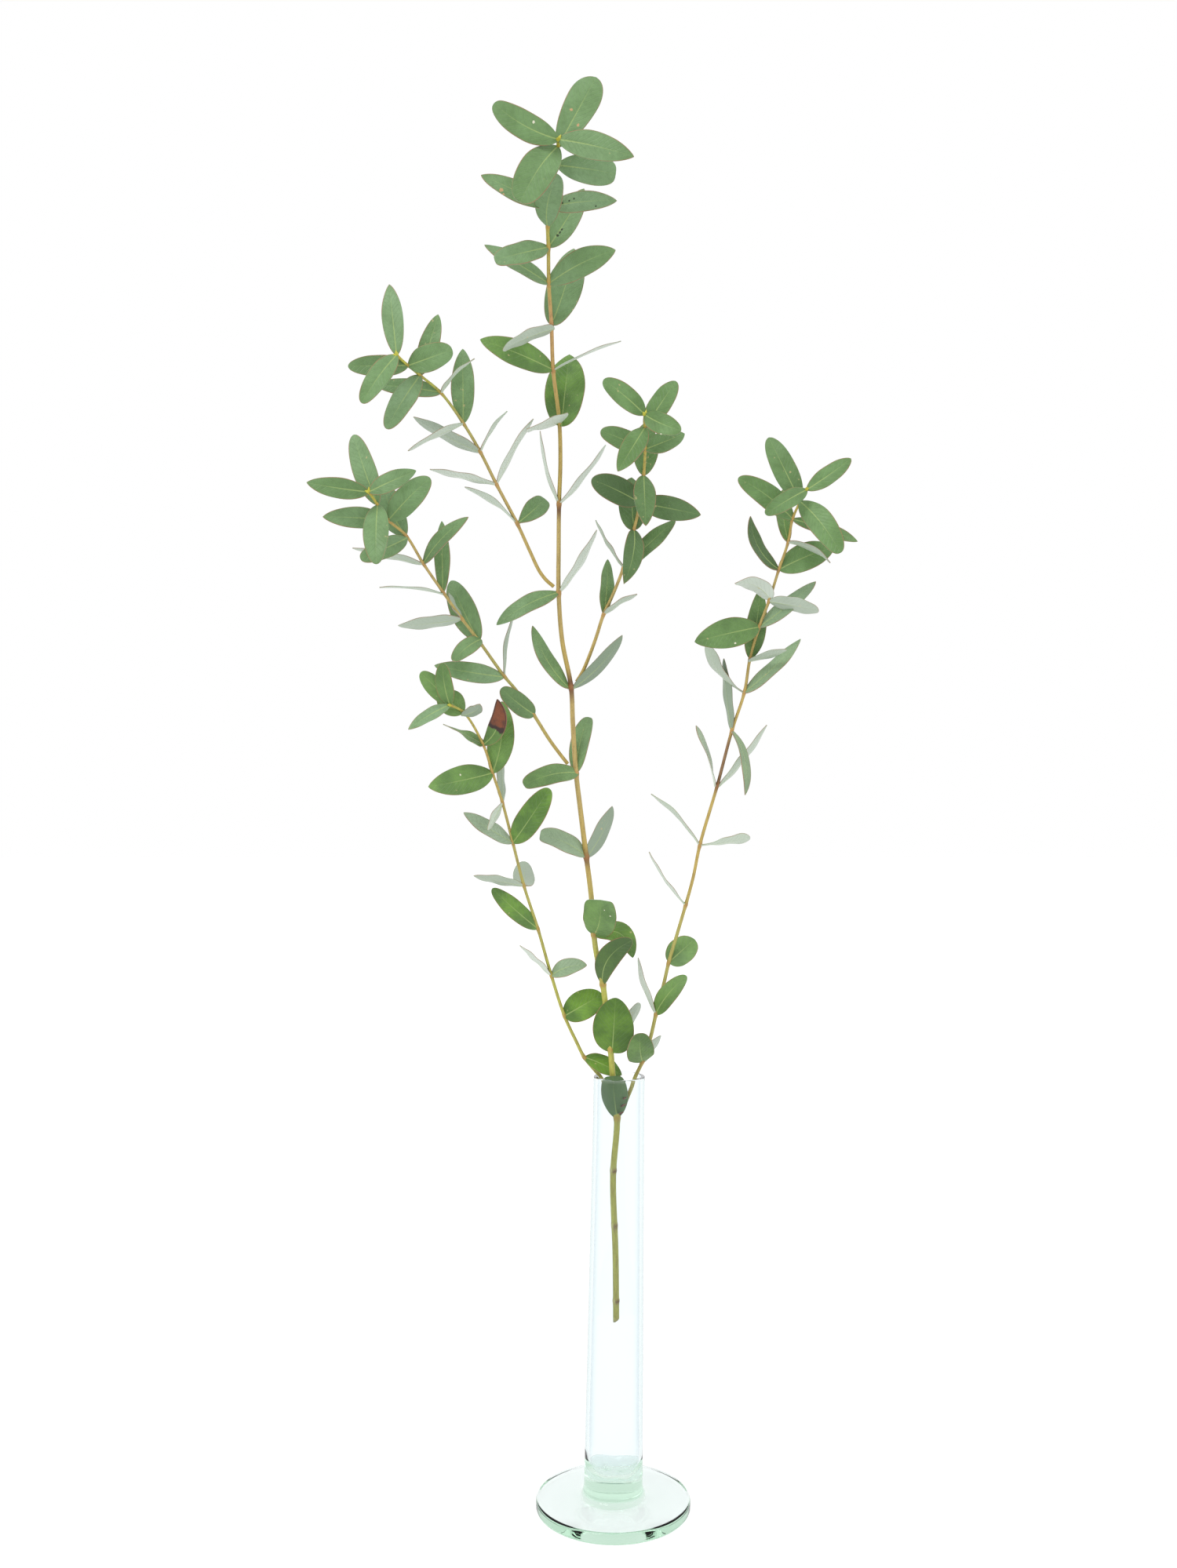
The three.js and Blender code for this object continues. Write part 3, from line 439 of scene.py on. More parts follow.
def colour(red, green, blue):
    """A colour as seen on a screen, 0 to 255 each, as linear light."""
    def linear(value):
        value /= 255
        return value / 12.92 if value <= 0.04045 else ((value + 0.055) / 1.055) ** 2.4
    return (linear(red), linear(green), linear(blue), 1.0)


def mix(first, second, share):
    return tuple(a + (b - a) * share for a, b in zip(first, second))


def clamp(value):
    return min(1.0, max(0.0, value))


def place(right, up, back):
    """A place seen from the front at right and up, carried along the line of sight to back."""
    seen = Vector((right, 0, up))
    return EYE + (seen - EYE) * ((back - EYE.y) / -EYE.y)


def unplace(spot):
    """Where a place is seen from the front: right and up."""
    seen = EYE + (spot - EYE) * (-EYE.y / (spot.y - EYE.y))
    return Vector((seen.x, seen.z))


class Stem:
    """A smooth curve through a shoot's points: a centripetal Catmull-Rom spline."""

    def __init__(self, points):
        self.points = points
        self.places = [place(*point[:3]) for point in points]
        self.spans = len(points) - 1

    def point(self, share):
        along = clamp(share) * self.spans
        index = min(int(along), self.spans - 1)
        weight = along - index
        near, far = self.places[index], self.places[index + 1]
        before = self.places[index - 1] if index > 0 else near * 2 - far
        after = self.places[index + 2] if index + 2 <= self.spans else far * 2 - near
        pairs = ((before, near), (near, far), (far, after))
        gaps = [max(NUDGE, (b - a).length ** 0.5) for a, b in pairs]
        leave = ((near - before) / gaps[0] - (far - before) / (gaps[0] + gaps[1])
                 + (far - near) / gaps[1]) * gaps[1]
        arrive = ((far - near) / gaps[1] - (after - near) / (gaps[1] + gaps[2])
                  + (after - far) / gaps[2]) * gaps[1]
        square = -3 * near + 3 * far - 2 * leave - arrive
        cube = 2 * near - 2 * far + leave + arrive
        return near + leave * weight + square * weight ** 2 + cube * weight ** 3

    def tangent(self, share):
        return (self.point(share + NUDGE) - self.point(share - NUDGE)).normalized()


class Leaf:
    """A thin arched blade, rooted in the stem's middle, with its chance features from its seed."""

    def __init__(self, middle, growth, row, seed):
        right, up, back, seen_width, face, seen_bow = row[:6]
        self.form = USUAL_FORM | (row[6] if len(row) > 6 else {})
        aside, above, behind = self.form["start"]
        root = middle + Vector((aside, behind, above))
        end = place(right, up, middle.y + back)
        nearness = (root.y + back / 2 - EYE.y) / -EYE.y
        self.width = seen_width * nearness
        self.root = root
        self.chord = end - root
        self.length = self.chord.length
        self.along = self.chord.normalized()
        to_eye = (EYE - root.lerp(end, 0.5)).normalized()
        opening = (to_eye - self.along * to_eye.dot(self.along)).normalized()
        across = self.along.cross(opening)
        self.turn = -1 if across.dot(growth) < 0 else 1
        angle = math.radians(face)
        arch = self.form["arch"] * self.length * math.cos(angle)
        self.bend = -across * (seen_bow * nearness) + opening * arch
        self.upper = opening * math.cos(angle) + across * (self.turn * math.sin(angle))
        chance = random.Random(seed)
        self.phases = [chance.uniform(0, 2 * math.pi) for _ in range(2)]
        self.waves = chance.uniform(*RIPPLE_WAVES)
        self.mood = chance.random()

    def seen_at(self, right, up):
        """The place on the blade that is seen nearest to right and up."""
        spots = [self.points_at(row / SEARCH_ROWS, side / SEARCH_SIDES)[0]
                 for row in range(SEARCH_ROWS + 1)
                 for side in range(-SEARCH_SIDES, SEARCH_SIDES + 1)]
        return min(spots, key=lambda spot: (unplace(spot) - Vector((right, up))).length)

    def frame_at(self, share):
        centre = self.root + self.chord * share + self.bend * (4 * share * (1 - share))
        tangent = (self.chord + self.bend * (4 * (1 - 2 * share))).normalized()
        lean = self.along.rotation_difference(tangent)
        twist = self.turn * self.form["twist"] * (share - 0.5)
        roll = Quaternion(tangent, math.radians(twist))
        normal = roll @ (lean @ self.upper)
        return centre, normal, tangent.cross(normal)

    def wide_at(self, share):
        widest = self.form["widest"]
        if share < widest:
            off, power = (widest - share) / widest, self.form["base"]
        else:
            off, power = (share - widest) / (1 - widest), self.form["tip"]
        least = BASE_WIDTH if share < 0.5 else TIP_WIDTH
        return max(self.width * (1 - off ** 2) ** power, least)

    def points_at(self, share, side):
        """The places above and below the blade's middle, and the distance from the midrib."""
        centre, normal, sideways = self.frame_at(share)
        wide = self.wide_at(share)
        reach = abs(side)
        hollow = (GUTTER * self.width + self.form["cup"]) * (wide / self.width) ** 2
        phase = self.phases[side > 0]
        ripple = RIPPLE * reach ** 2 * math.sin(2 * math.pi * self.waves * share + phase)
        middle = centre + sideways * (side * wide / 2)
        middle += normal * (hollow * reach ** HOLLOW_POWER + ripple * wide / self.width)
        off_rib = reach * wide / 2
        petiole = math.exp(-share * self.length / PETIOLE_LENGTH)
        half = (RIB_THICKNESS + (MARGIN_THICKNESS - RIB_THICKNESS) * reach ** 2) / 2
        half += (PETIOLE_THICKNESS - RIB_THICKNESS) / 2 * petiole
        rib = math.exp(-(off_rib / RIDGE_HALF_WIDTH) ** 2) * (1 - share) ** 0.5
        above = middle + normal * (half - GROOVE * rib)
        below = middle - normal * (half + RIDGE * rib)
        return above, below, off_rib


def leaf_at(name, stem, index, order):
    """The leaf of that order at a point of a shoot."""
    growth = stem.tangent(index / stem.spans)
    row = stem.points[index][3 + order]
    return Leaf(stem.places[index], growth, row, f"{name} {index} {order}")


def add_object(name, data):
    added = bpy.data.objects.new(name, data)
    bpy.context.scene.collection.objects.link(added)
    return added


class MeshMaker:
    """Collects corners, faces and numbers held on the corners, and makes one object of them."""

    def __init__(self):
        self.places = []
        self.faces = []
        self.numbers = {}

    def corner(self, spot, **numbers):
        self.places.append(spot * MM)
        for name, value in numbers.items():
            self.numbers.setdefault(name, []).append(value)
        return len(self.places) - 1

    def sleeve(self, rings):
        """Faces from each ring of corners to the next."""
        for near, far in zip(rings, rings[1:]):
            self.faces += zip(near, near[1:] + near[:1], far[1:] + far[:1], far)

    def tube(self, rings):
        """A sleeve closed at both ends."""
        self.sleeve(rings)
        self.faces += [rings[0][::-1], rings[-1]]

    def finish(self, name, material):
        mesh = bpy.data.meshes.new(name)
        mesh.from_pydata(self.places, [], self.faces)
        for label, held in self.numbers.items():
            if isinstance(held[0], tuple):
                layer = mesh.attributes.new(label, "FLOAT_COLOR", "POINT")
                layer.data.foreach_set("color", [part for item in held for part in item])
            else:
                layer = mesh.attributes.new(label, "FLOAT", "POINT")
                layer.data.foreach_set("value", held)
        mesh.shade_smooth()
        mesh.materials.append(material)
        mesh.validate()
        return add_object(name, mesh)


def add_leaf(maker, leaf, look):
    """One closed blade: a sheet above and a sheet below, joined round the margin."""
    rings = []
    for row in range(LEAF_ROWS + 1):
        share = 0.5 - 0.5 * math.cos(math.pi * row / LEAF_ROWS)
        upper, lower = [], []
        for side in LEAF_COLUMNS:
            above, below, off_rib = leaf.points_at(share, side)
            shared = {
                "along": share * leaf.length, "share": share, "off_rib": off_rib,
                "margin": leaf.wide_at(share) / 2 - off_rib, **look,
            }
            upper.append(maker.corner(above, under=0.0, **shared))
            lower.append(maker.corner(below, under=1.0, **shared))
        rings.append(upper + lower[::-1])
    maker.tube(rings)


def leaves_piece(name, points, bloom, material):
    """All of a shoot's leaves, with the numbers that their material reads."""
    maker = MeshMaker()
    stem = Stem(points)
    for index, (_, up, _, *leaves) in enumerate(points):
        fresh = clamp((HIGH_LEAVES_START - up) / (HIGH_LEAVES_START - LOW_LEAVES_END))
        for order in range(len(leaves)):
            leaf = leaf_at(name, stem, index, order)
            look = {"mood": leaf.mood, "fresh": fresh, "bloom": bloom, "dark": 0.0,
                    "silver": SILVER, "frost": 0.0, "dry": 0.0}
            for trait, shares in LOOKS[name].items():
                look[trait] = shares.get((index, order), look[trait])
            add_leaf(maker, leaf, look)
    return maker.finish(name + "_leaves", material)


def mark_places(kind):
    """The middle and radius of each blemish of a kind, in metres."""
    found = []
    for name, points, *_ in SHOOTS:
        stem = Stem(points)
        for index, order, right, up, radius, mark in MARKS.get(name, []):
            if mark == kind:
                leaf = leaf_at(name, stem, index, order)
                found.append((leaf.seen_at(right, up) * MM, radius * MM))
    return found


# Stem colours.
CUT_FACE = colour(196, 186, 140)
OLIVE = colour(170, 170, 84)
SCAR = colour(200, 192, 150)
KHAKI = colour(164, 158, 84)
GOLDEN = colour(182, 158, 84)
TAN = colour(178, 156, 94)
PINK_BROWN = colour(190, 148, 96)
DARK_BROWN = colour(104, 70, 42)
BROWN = colour(146, 112, 78)
YELLOW_GREEN = colour(172, 172, 76)
BUD_YELLOW = colour(190, 186, 66)
NODE_COLOUR = colour(176, 116, 60)
SHRED_BROWN = colour(110, 78, 66)

# How each stem's colour runs from foot to tip: height in the picture, then colour.
STEM_COLOURS = {
    "main_shoot": [
        (86, OLIVE), (150, OLIVE), (196, YELLOW_GREEN), (250, YELLOW_GREEN), (268, KHAKI),
        (292, GOLDEN), (298, DARK_BROWN), (304, GOLDEN), (332, TAN), (368, TAN),
        (375, DARK_BROWN), (379, DARK_BROWN), (386, GOLDEN), (416, TAN), (452, TAN),
        (458, DARK_BROWN), (464, GOLDEN), (500, GOLDEN), (545, PINK_BROWN), (560, GOLDEN),
        (600, YELLOW_GREEN), (628, BUD_YELLOW),
    ],
    "low_left_shoot": [(180, KHAKI), (235, YELLOW_GREEN), (290, KHAKI), (350, GOLDEN),
                       (370, YELLOW_GREEN)],
    "low_right_shoot": [
        (180, KHAKI), (262, KHAKI), (290, GOLDEN), (326, GOLDEN), (331, DARK_BROWN),
        (336, BROWN), (350, BROWN), (358, GOLDEN), (420, TAN), (455, GOLDEN), (470, BUD_YELLOW),
    ],
    "mid_left_shoot": [(340, GOLDEN), (380, KHAKI), (430, TAN), (455, GOLDEN),
                       (466, BUD_YELLOW)],
    "mid_right_shoot": [(379, GOLDEN), (420, TAN), (470, GOLDEN), (502, BUD_YELLOW)],
    "upper_left_shoot": [(422, GOLDEN), (470, TAN), (500, KHAKI), (515, YELLOW_GREEN),
                         (529, BUD_YELLOW)],
}


def stem_colour(name, up):
    stops = STEM_COLOURS[name]
    for (low, first), (high, second) in zip(stops, stops[1:]):
        if up <= high:
            return mix(first, second, clamp((up - low) / (high - low)))
    return stops[-1][1]


def closeness(spot, places, reach):
    """1 at any of the places, fading to 0 over about twice the reach."""
    return max((math.exp(-((spot - other).length / reach) ** 2) for other in places), default=0)


def add_bud(maker, spot, direction, length, radius, tint):
    """A small pointed bud: rings round a line, widest near its foot."""
    side = direction.orthogonal().normalized()
    front = direction.cross(side)
    rings = []
    for step in range(BUD_ROWS + 1):
        share = step / BUD_ROWS
        wide = radius * math.sin(math.pi * (BUD_FOOT + (1 - BUD_FOOT) * share) ** BUD_FULLNESS)
        centre = spot + direction * (length * share)
        ring = []
        for index in range(BUD_SIDES):
            angle = 2 * math.pi * index / BUD_SIDES
            out = side * math.cos(angle) + front * math.sin(angle)
            ring.append(maker.corner(centre + out * max(wide, BUD_POINT), tint=tint))
        rings.append(ring)
    maker.tube(rings)


def stem_piece(name, points, foot_radius, tip_radius, material):
    """A shoot's stem with its nodes and two end buds, and the main one's cut end and scars."""
    maker = MeshMaker()
    stem = Stem(points)
    is_main = name == "main_shoot"
    nodes = [spot for spot, point in zip(stem.places, points) if len(point) > 3]
    scars = []
    if is_main:
        spots = [stem.point(step / SCAR_SEARCH) for step in range(SCAR_SEARCH)]
        scars = [min(spots, key=lambda spot: abs(spot.z - height)) for height in SCAR_HEIGHTS]
    length = sum((b - a).length for a, b in zip(stem.places, stem.places[1:]))
    steps = round(length / STEM_STEP)
    rings = []
    for step in range(steps + 1):
        share = step / steps
        centre = stem.point(share)
        tangent = stem.tangent(share)
        right = (Vector((1, 0, 0)) - tangent * tangent.x).normalized()
        front = right.cross(tangent)
        near_node = closeness(centre, nodes, NODE_REACH)
        near_scar = closeness(centre, scars, SCAR_HALF_HEIGHT)
        radius = foot_radius + (tip_radius - foot_radius) * share
        radius *= 1 + NODE_SWELLING * max(near_node, near_scar * SCAR_SHARE)
        tint = mix(stem_colour(name, unplace(centre).y), NODE_COLOUR, near_node * NODE_SHARE)
        tint = mix(tint, SCAR, near_scar * SCAR_SHARE)
        is_cut = is_main and step == 0
        ring = []
        for index in range(STEM_SIDES):
            angle = -2 * math.pi * index / STEM_SIDES
            out = right * math.cos(angle) + front * math.sin(angle)
            spot = centre + out * (radius * (1 + RIB_HEIGHT * math.cos(STEM_RIBS * angle)))
            if is_cut:
                spot += tangent * (CUT_SLANT * radius * math.cos(angle))
            scorch = near_scar * clamp(math.cos(angle - SCORCHED_SIDE) * SCORCH_SPREAD)
            skin = CUT_FACE if is_cut else mix(tint, DARK_BROWN, scorch)
            ring.append(maker.corner(spot, tint=skin))
        rings.append(ring)
    maker.tube(rings)
    if is_main:
        askew = Vector(SHRED_LEAN).normalized()
        for *seen, shred_length in SHREDS:
            add_bud(maker, place(*seen), askew, shred_length, SHRED_RADIUS, SHRED_BROWN)
    tip, growth = stem.point(1), stem.tangent(1)
    side = growth.orthogonal().normalized()
    for lean in (-BUD_LEAN, BUD_LEAN):
        direction = (growth + side * lean).normalized()
        add_bud(maker, tip - growth * BUD_SUNK, direction, BUD_LENGTH, BUD_RADIUS, BUD_YELLOW)
    return maker.finish(name + "_stem", material)


def arc(radius, height, corner, start):
    """A quarter turn of the outline, anticlockwise from a start in degrees, round a middle."""
    angles = [math.radians(start + 90 * step / CORNER_STEPS) for step in range(CORNER_STEPS + 1)]
    return [(radius + corner * math.cos(angle), height + corner * math.sin(angle))
            for angle in angles]


def tube_side(foot, mouth, low):
    """Points up the tube's side, which narrows from the foot until shortly below the mouth."""
    shares = [step / TUBE_STEPS for step in range(TUBE_STEPS + 1)]
    return [(foot + (mouth - foot) * clamp(share * NARROWING), low + (TUBE_END - low) * share)
            for share in shares]


def vase_outline():
    """The half section: up the outside from the middle of the underside, and down the inside."""
    bore = MOUTH_RADIUS - WALL
    well = TUBE_RADIUS - WALL
    outline = [(0, 0), (FOOT_RADIUS / 2, 0)]
    outline += arc(FOOT_RADIUS - FOOT_CORNER, FOOT_CORNER, FOOT_CORNER, -90)
    outline += arc(FOOT_RADIUS - FOOT_CORNER, FOOT_THICKNESS - FOOT_CORNER, FOOT_CORNER, 0)
    outline += [(TUBE_RADIUS + out, FOOT_THICKNESS + rise) for out, rise in FOOT_RISE]
    outline += tube_side(TUBE_RADIUS, MOUTH_RADIUS, OUTSIDE_START)
    outline += arc(MOUTH_RADIUS - LIP_CORNER, VASE_HEIGHT - LIP_CORNER, LIP_CORNER, 0)
    outline += arc(bore + LIP_CORNER, VASE_HEIGHT - LIP_CORNER, LIP_CORNER, 90)
    outline += tube_side(well, bore, INSIDE_START)[::-1]
    outline += [(well - inwards, WELL_FLOOR + rise) for inwards, rise in WELL_CORNER]
    outline += [(well * WELL_FLAT, WELL_FLOOR), (0, WELL_FLOOR - WELL_DIP)]
    return outline


def vase_piece(material):
    """The turned glass, with a wavy well floor and the tube leaning a little to the right."""
    maker = MeshMaker()
    rings = []
    for radius, height in vase_outline():
        rise = max(0, height - FOOT_THICKNESS)
        lean = TUBE_LEAN * rise / (VASE_HEIGHT - FOOT_THICKNESS)
        in_well = radius < TUBE_RADIUS - WALL / 2 and abs(height - WELL_FLOOR) < WAVE_REACH
        waves = WELL_WAVES if in_well else []
        ring = []
        for index in range(VASE_SIDES if radius > 0 else 1):
            angle = 2 * math.pi * index / VASE_SIDES
            wave = sum(size * math.sin(count * angle + start) for size, count, start in waves)
            out = max(0, radius + wave * WAVE_SIDEWAYS)
            spot = Vector((lean + out * math.cos(angle), out * math.sin(angle), height + wave))
            ring.append(maker.corner(spot))
        rings.append(ring)
    [underside], *rings, [well_floor] = rings
    maker.sleeve(rings)
    for index in range(VASE_SIDES):
        maker.faces.append((underside, rings[0][index], rings[0][index - 1]))
        maker.faces.append((well_floor, rings[-1][index - 1], rings[-1][index]))
    return maker.finish("vase_glass", material)


class Nodes:
    """Short names for the shader nodes that the materials are made of."""

    def __init__(self, name):
        self.material = bpy.data.materials.new(name)
        self.material.use_nodes = True
        self.tree = self.material.node_tree
        self.shader = self.tree.nodes["Principled BSDF"]

    def make(self, kind, inputs=None, **settings):
        node = self.tree.nodes.new(kind)
        for key, value in settings.items():
            setattr(node, key, value)
        self.feed(node, inputs or {})
        return node

    def feed(self, node, inputs):
        """Sets a node's inputs to plain values, or links them to other nodes' outputs."""
        for key, value in inputs.items():
            if isinstance(value, bpy.types.NodeSocket):
                self.tree.links.new(value, node.inputs[key])
            else:
                node.inputs[key].default_value = value

    def number(self, name, output="Fac"):
        return self.make("ShaderNodeAttribute", attribute_name=name).outputs[output]

    def maths(self, operation, first, second=0.0):
        return self.make("ShaderNodeMath", {0: first, 1: second}, operation=operation).outputs[0]

    def times(self, first, second):
        return self.maths("MULTIPLY", first, second)

    def blend(self, share, first, second):
        """The first colour at a share of 0, and the second at 1."""
        inputs = {0: share, 6: first, 7: second}
        return self.make("ShaderNodeMix", inputs, data_type="RGBA").outputs[2]

    def spread(self, value, low, high, first=0.0, second=1.0):
        """A smooth step from the first number, where the value is low, to the second."""
        inputs = dict(enumerate((value, low, high, first, second)))
        return self.make("ShaderNodeMapRange", inputs, interpolation_type="SMOOTHSTEP").outputs[0]

    def places(self, stretch=(1, 1, 1)):
        where = self.make("ShaderNodeTexCoord").outputs["Object"]
        return self.make("ShaderNodeMapping", {"Vector": where, "Scale": stretch}).outputs[0]

    def noise(self, scale, detail=2.0, where=None):
        """Soft chance patches, as many to a metre as the scale says."""
        inputs = {"Vector": where or self.places(), "Scale": scale, "Detail": detail}
        return self.make("ShaderNodeTexNoise", inputs).outputs["Fac"]

    def spots(self, found):
        """One inside any of the ragged balls, each a middle and a radius, and nothing outside."""
        total = 0.0
        ragged = self.spread(self.noise(1100.0, 1.0), 0.3, 0.7, 0.75, 1.3)
        for middle, radius in found:
            ends = {0: self.places(), 1: middle}
            distance = self.make("ShaderNodeVectorMath", ends, operation="DISTANCE")
            away = self.times(distance.outputs["Value"], ragged)
            inside = self.spread(away, radius * SPOT_CORE, radius, 1.0, 0.0)
            total = self.maths("MAXIMUM", total, inside)
        return total

    def bump(self, height, distance, strength=1.0):
        inputs = {"Height": height, "Distance": distance, "Strength": strength}
        self.feed(self.shader, {"Normal": self.make("ShaderNodeBump", inputs).outputs[0]})

    def finish(self, inputs):
        self.feed(self.shader, inputs)
        return self.material


# Leaf colours.
GREY_GREEN = colour(100, 136, 76)
DEEP_GREEN = colour(84, 118, 58)
LOW_GREEN = colour(104, 146, 36)
LOW_DEEP_GREEN = colour(68, 106, 16)
# Dark green serves both the fine dark mesh on every leaf and the painted shade on leaves marked
# dark.
DARK_GREEN = colour(48, 70, 38)
BLOOM = colour(128, 158, 118)
MIDRIB = colour(162, 182, 110)
MARGIN_RED = colour(150, 100, 74)
UNDERSIDE = colour(196, 206, 194)
# The underside in painted shade, for leaves marked dark, partly their own deeper tone.
SHADED_UNDERSIDE = colour(112, 134, 106)
UNDERSIDE_VEIN = colour(146, 160, 140)
DRY_LEAF = colour(120, 66, 38)
DRY_EDGE = colour(52, 34, 30)
SPECK = colour(196, 176, 128)
MARK_COLOURS = {
    "dark": colour(46, 62, 36), "tan": colour(186, 150, 108), "pale": colour(206, 204, 182),
}

# How strongly each feature shows over the leaf's own colour, from 0 to 1, and how much of a
# blemish's radius is solid.
MOOD_SHARE = 0.22
MESH_SHARE = 0.14
VEIN_SHARE = 0.13
MIDRIB_SHARE = 0.55
UNDERSIDE_VEIN_SHARE = 0.2
UNDERSIDE_MIDRIB_SHARE = 0.4
BLUSH_ABOVE = 0.75
BLUSH_BELOW = 0.3
SPECK_SHARE = 0.5
SPOT_CORE = 0.6

# The side veins: how far apart in millimetres, how slanted, how wavy and how wide, then how far
# in from the margin another runs along it and how strong that one is.
VEIN_SPACING = 2.3
VEIN_SLOPE = 1.15
VEIN_WAVE = 1.6
VEIN_WIDTH = 0.16
MARGIN_VEIN = 0.75
MARGIN_VEIN_SHARE = 0.6

# The half width of the midrib's line at the tip, and how much wider it is at the base.
MIDRIB_TIP = 0.12
MIDRIB_GROWTH = 0.2

# How far along the leaf the dry end's dark edge and its brown start.
DRY_EDGE_START = (0.44, 0.48)
DRY_BROWN_START = (0.53, 0.58)

# How high the leaves' veins and the bark's streaks stand, in metres.
LEAF_RELIEF = 0.00012
BARK_RELIEF = 0.00008


def side_veins(n, along, off_rib, margin):
    """Veins that leave the midrib at a slant, and one that runs along the margin."""
    wobble = n.times(n.noise(160.0), VEIN_WAVE)
    slant = n.maths("SUBTRACT", along, n.times(off_rib, VEIN_SLOPE))
    phase = n.maths("ADD", n.maths("DIVIDE", slant, VEIN_SPACING), wobble)
    veins = n.spread(n.maths("PINGPONG", phase, 0.5), 0.0, VEIN_WIDTH, 1.0, 0.0)
    veins = n.times(veins, n.spread(margin, 0.25, 0.9))
    off_vein = n.maths("ABSOLUTE", n.maths("SUBTRACT", margin, MARGIN_VEIN))
    margin_vein = n.spread(off_vein, 0.0, VEIN_WIDTH, 1.0, 0.0)
    return n.maths("MAXIMUM", veins, n.times(margin_vein, MARGIN_VEIN_SHARE))


def midrib(n, share, off_rib):
    """The midrib's pale line, which narrows and fades towards the tip."""
    to_tip = n.maths("SUBTRACT", 1.0, share)
    half_width = n.maths("ADD", MIDRIB_TIP, n.times(to_tip, MIDRIB_GROWTH))
    line = n.spread(n.maths("DIVIDE", off_rib, half_width), 0.45, 1.15, 1.0, 0.0)
    return n.times(line, n.spread(share, 0.25, 0.95, 1.0, 0.15))


def upper_side(n, veins, rib):
    """Patchy green with a cloudy bloom, a fine mesh, paler veins, painted shade on leaves marked
    dark, and a pale midrib.
    """
    patches = n.spread(n.noise(90.0, 3.0), 0.35, 0.65)
    high_green = n.blend(patches, DEEP_GREEN, GREY_GREEN)
    low_green = n.blend(patches, LOW_DEEP_GREEN, LOW_GREEN)
    green = n.blend(n.number("fresh"), high_green, low_green)
    cloud = n.spread(n.noise(45.0, 4.0), 0.3, 0.7, 0.55, 1.2)
    green = n.blend(n.times(cloud, n.number("bloom")), green, BLOOM)
    green = n.blend(n.times(n.number("mood"), MOOD_SHARE), green, DEEP_GREEN)
    green = n.blend(n.spread(n.noise(620.0), 0.4, 0.7, 0.0, MESH_SHARE), green, DARK_GREEN)
    green = n.blend(n.times(veins, VEIN_SHARE), green, BLOOM)
    # Painted shade: leaves marked dark are darkened for lying in shadow, partly for their own
    # deeper green.
    green = n.blend(n.number("dark"), green, DARK_GREEN)
    return n.blend(n.times(rib, MIDRIB_SHARE), green, MIDRIB)


def lower_side(n, veins, rib):
    """Silvery grey with faint veins, darkened by painted shade on leaves marked dark."""
    # Painted shade: undersides of leaves marked dark are darkened for lying in shadow, partly for
    # their own deeper tone.
    silver = n.blend(n.number("dark"), UNDERSIDE, SHADED_UNDERSIDE)
    silver = n.blend(n.times(veins, UNDERSIDE_VEIN_SHARE), silver, UNDERSIDE_VEIN)
    return n.blend(n.times(rib, UNDERSIDE_MIDRIB_SHARE), silver, MIDRIB)


def dried(n, face, share, margin):
    """The face with a brown end behind a dark ragged edge, on leaves that are dry."""
    ragged = n.maths("ADD", share, n.times(n.noise(300.0), 0.12))
    face = n.blend(n.times(n.number("dry"), n.spread(ragged, *DRY_EDGE_START)), face, DRY_EDGE)
    brown = n.times(n.spread(ragged, *DRY_BROWN_START), n.spread(margin, 0.3, 0.9))
    brown = n.times(brown, n.spread(n.noise(260.0, 3.0), 0.3, 0.6, 0.35, 1.0))
    return n.blend(n.times(n.number("dry"), brown), face, DRY_LEAF)


def leaf_material(name):
    """Satin green above with a pale bloom, midrib, veins and a reddish margin; silver below."""
    n = Nodes(name)
    off_rib, along, share = n.number("off_rib"), n.number("along"), n.number("share")
    margin, under = n.number("margin"), n.number("under")
    veins = side_veins(n, along, off_rib, margin)
    rib = midrib(n, share, off_rib)
    silvery = n.maths("MAXIMUM", n.times(under, n.number("silver")), n.number("frost"))
    face = n.blend(silvery, upper_side(n, veins, rib), lower_side(n, veins, rib))
    face = dried(n, face, share, margin)
    blush = n.times(n.spread(margin, 0.08, 0.4, 1.0, 0.0), n.spread(n.noise(70.0), 0.3, 0.6))
    blush = n.times(blush, n.spread(under, 0.0, 1.0, BLUSH_ABOVE, BLUSH_BELOW))
    face = n.blend(blush, face, MARGIN_RED)
    specks = n.spread(n.noise(420.0, 1.0), 0.74, 0.8)
    face = n.blend(n.times(specks, SPECK_SHARE), face, SPECK)
    for kind, tint in MARK_COLOURS.items():
        face = n.blend(n.spots(mark_places(kind)), face, tint)
    relief = n.maths("ADD", n.times(veins, -0.6), n.times(n.noise(900.0), 0.5))
    n.bump(n.times(relief, n.spread(under, 0.0, 1.0, 1.0, 0.3)), LEAF_RELIEF)
    return n.finish({
        "Base Color": face,
        "Roughness": n.spread(n.noise(130.0), 0.3, 0.7, 0.42, 0.56),
        "Specular IOR Level": 0.4,
        "Sheen Weight": 0.08,
    })


def stem_material():
    """Thin bark: long streaks and dark specks over each stem's own colours."""
    n = Nodes("stem bark")
    streaks = n.spread(n.noise(900.0, 3.0, n.places((1, 1, 0.12))), 0.4, 0.72)
    tint = n.blend(n.times(streaks, 0.3), n.number("tint", "Color"), DARK_BROWN)
    specks = n.spread(n.noise(1500.0, 1.0), 0.66, 0.74)
    tint = n.blend(n.times(specks, 0.45), tint, DARK_BROWN)
    n.bump(streaks, BARK_RELIEF)
    return n.finish({"Base Color": tint, "Roughness": 0.5})


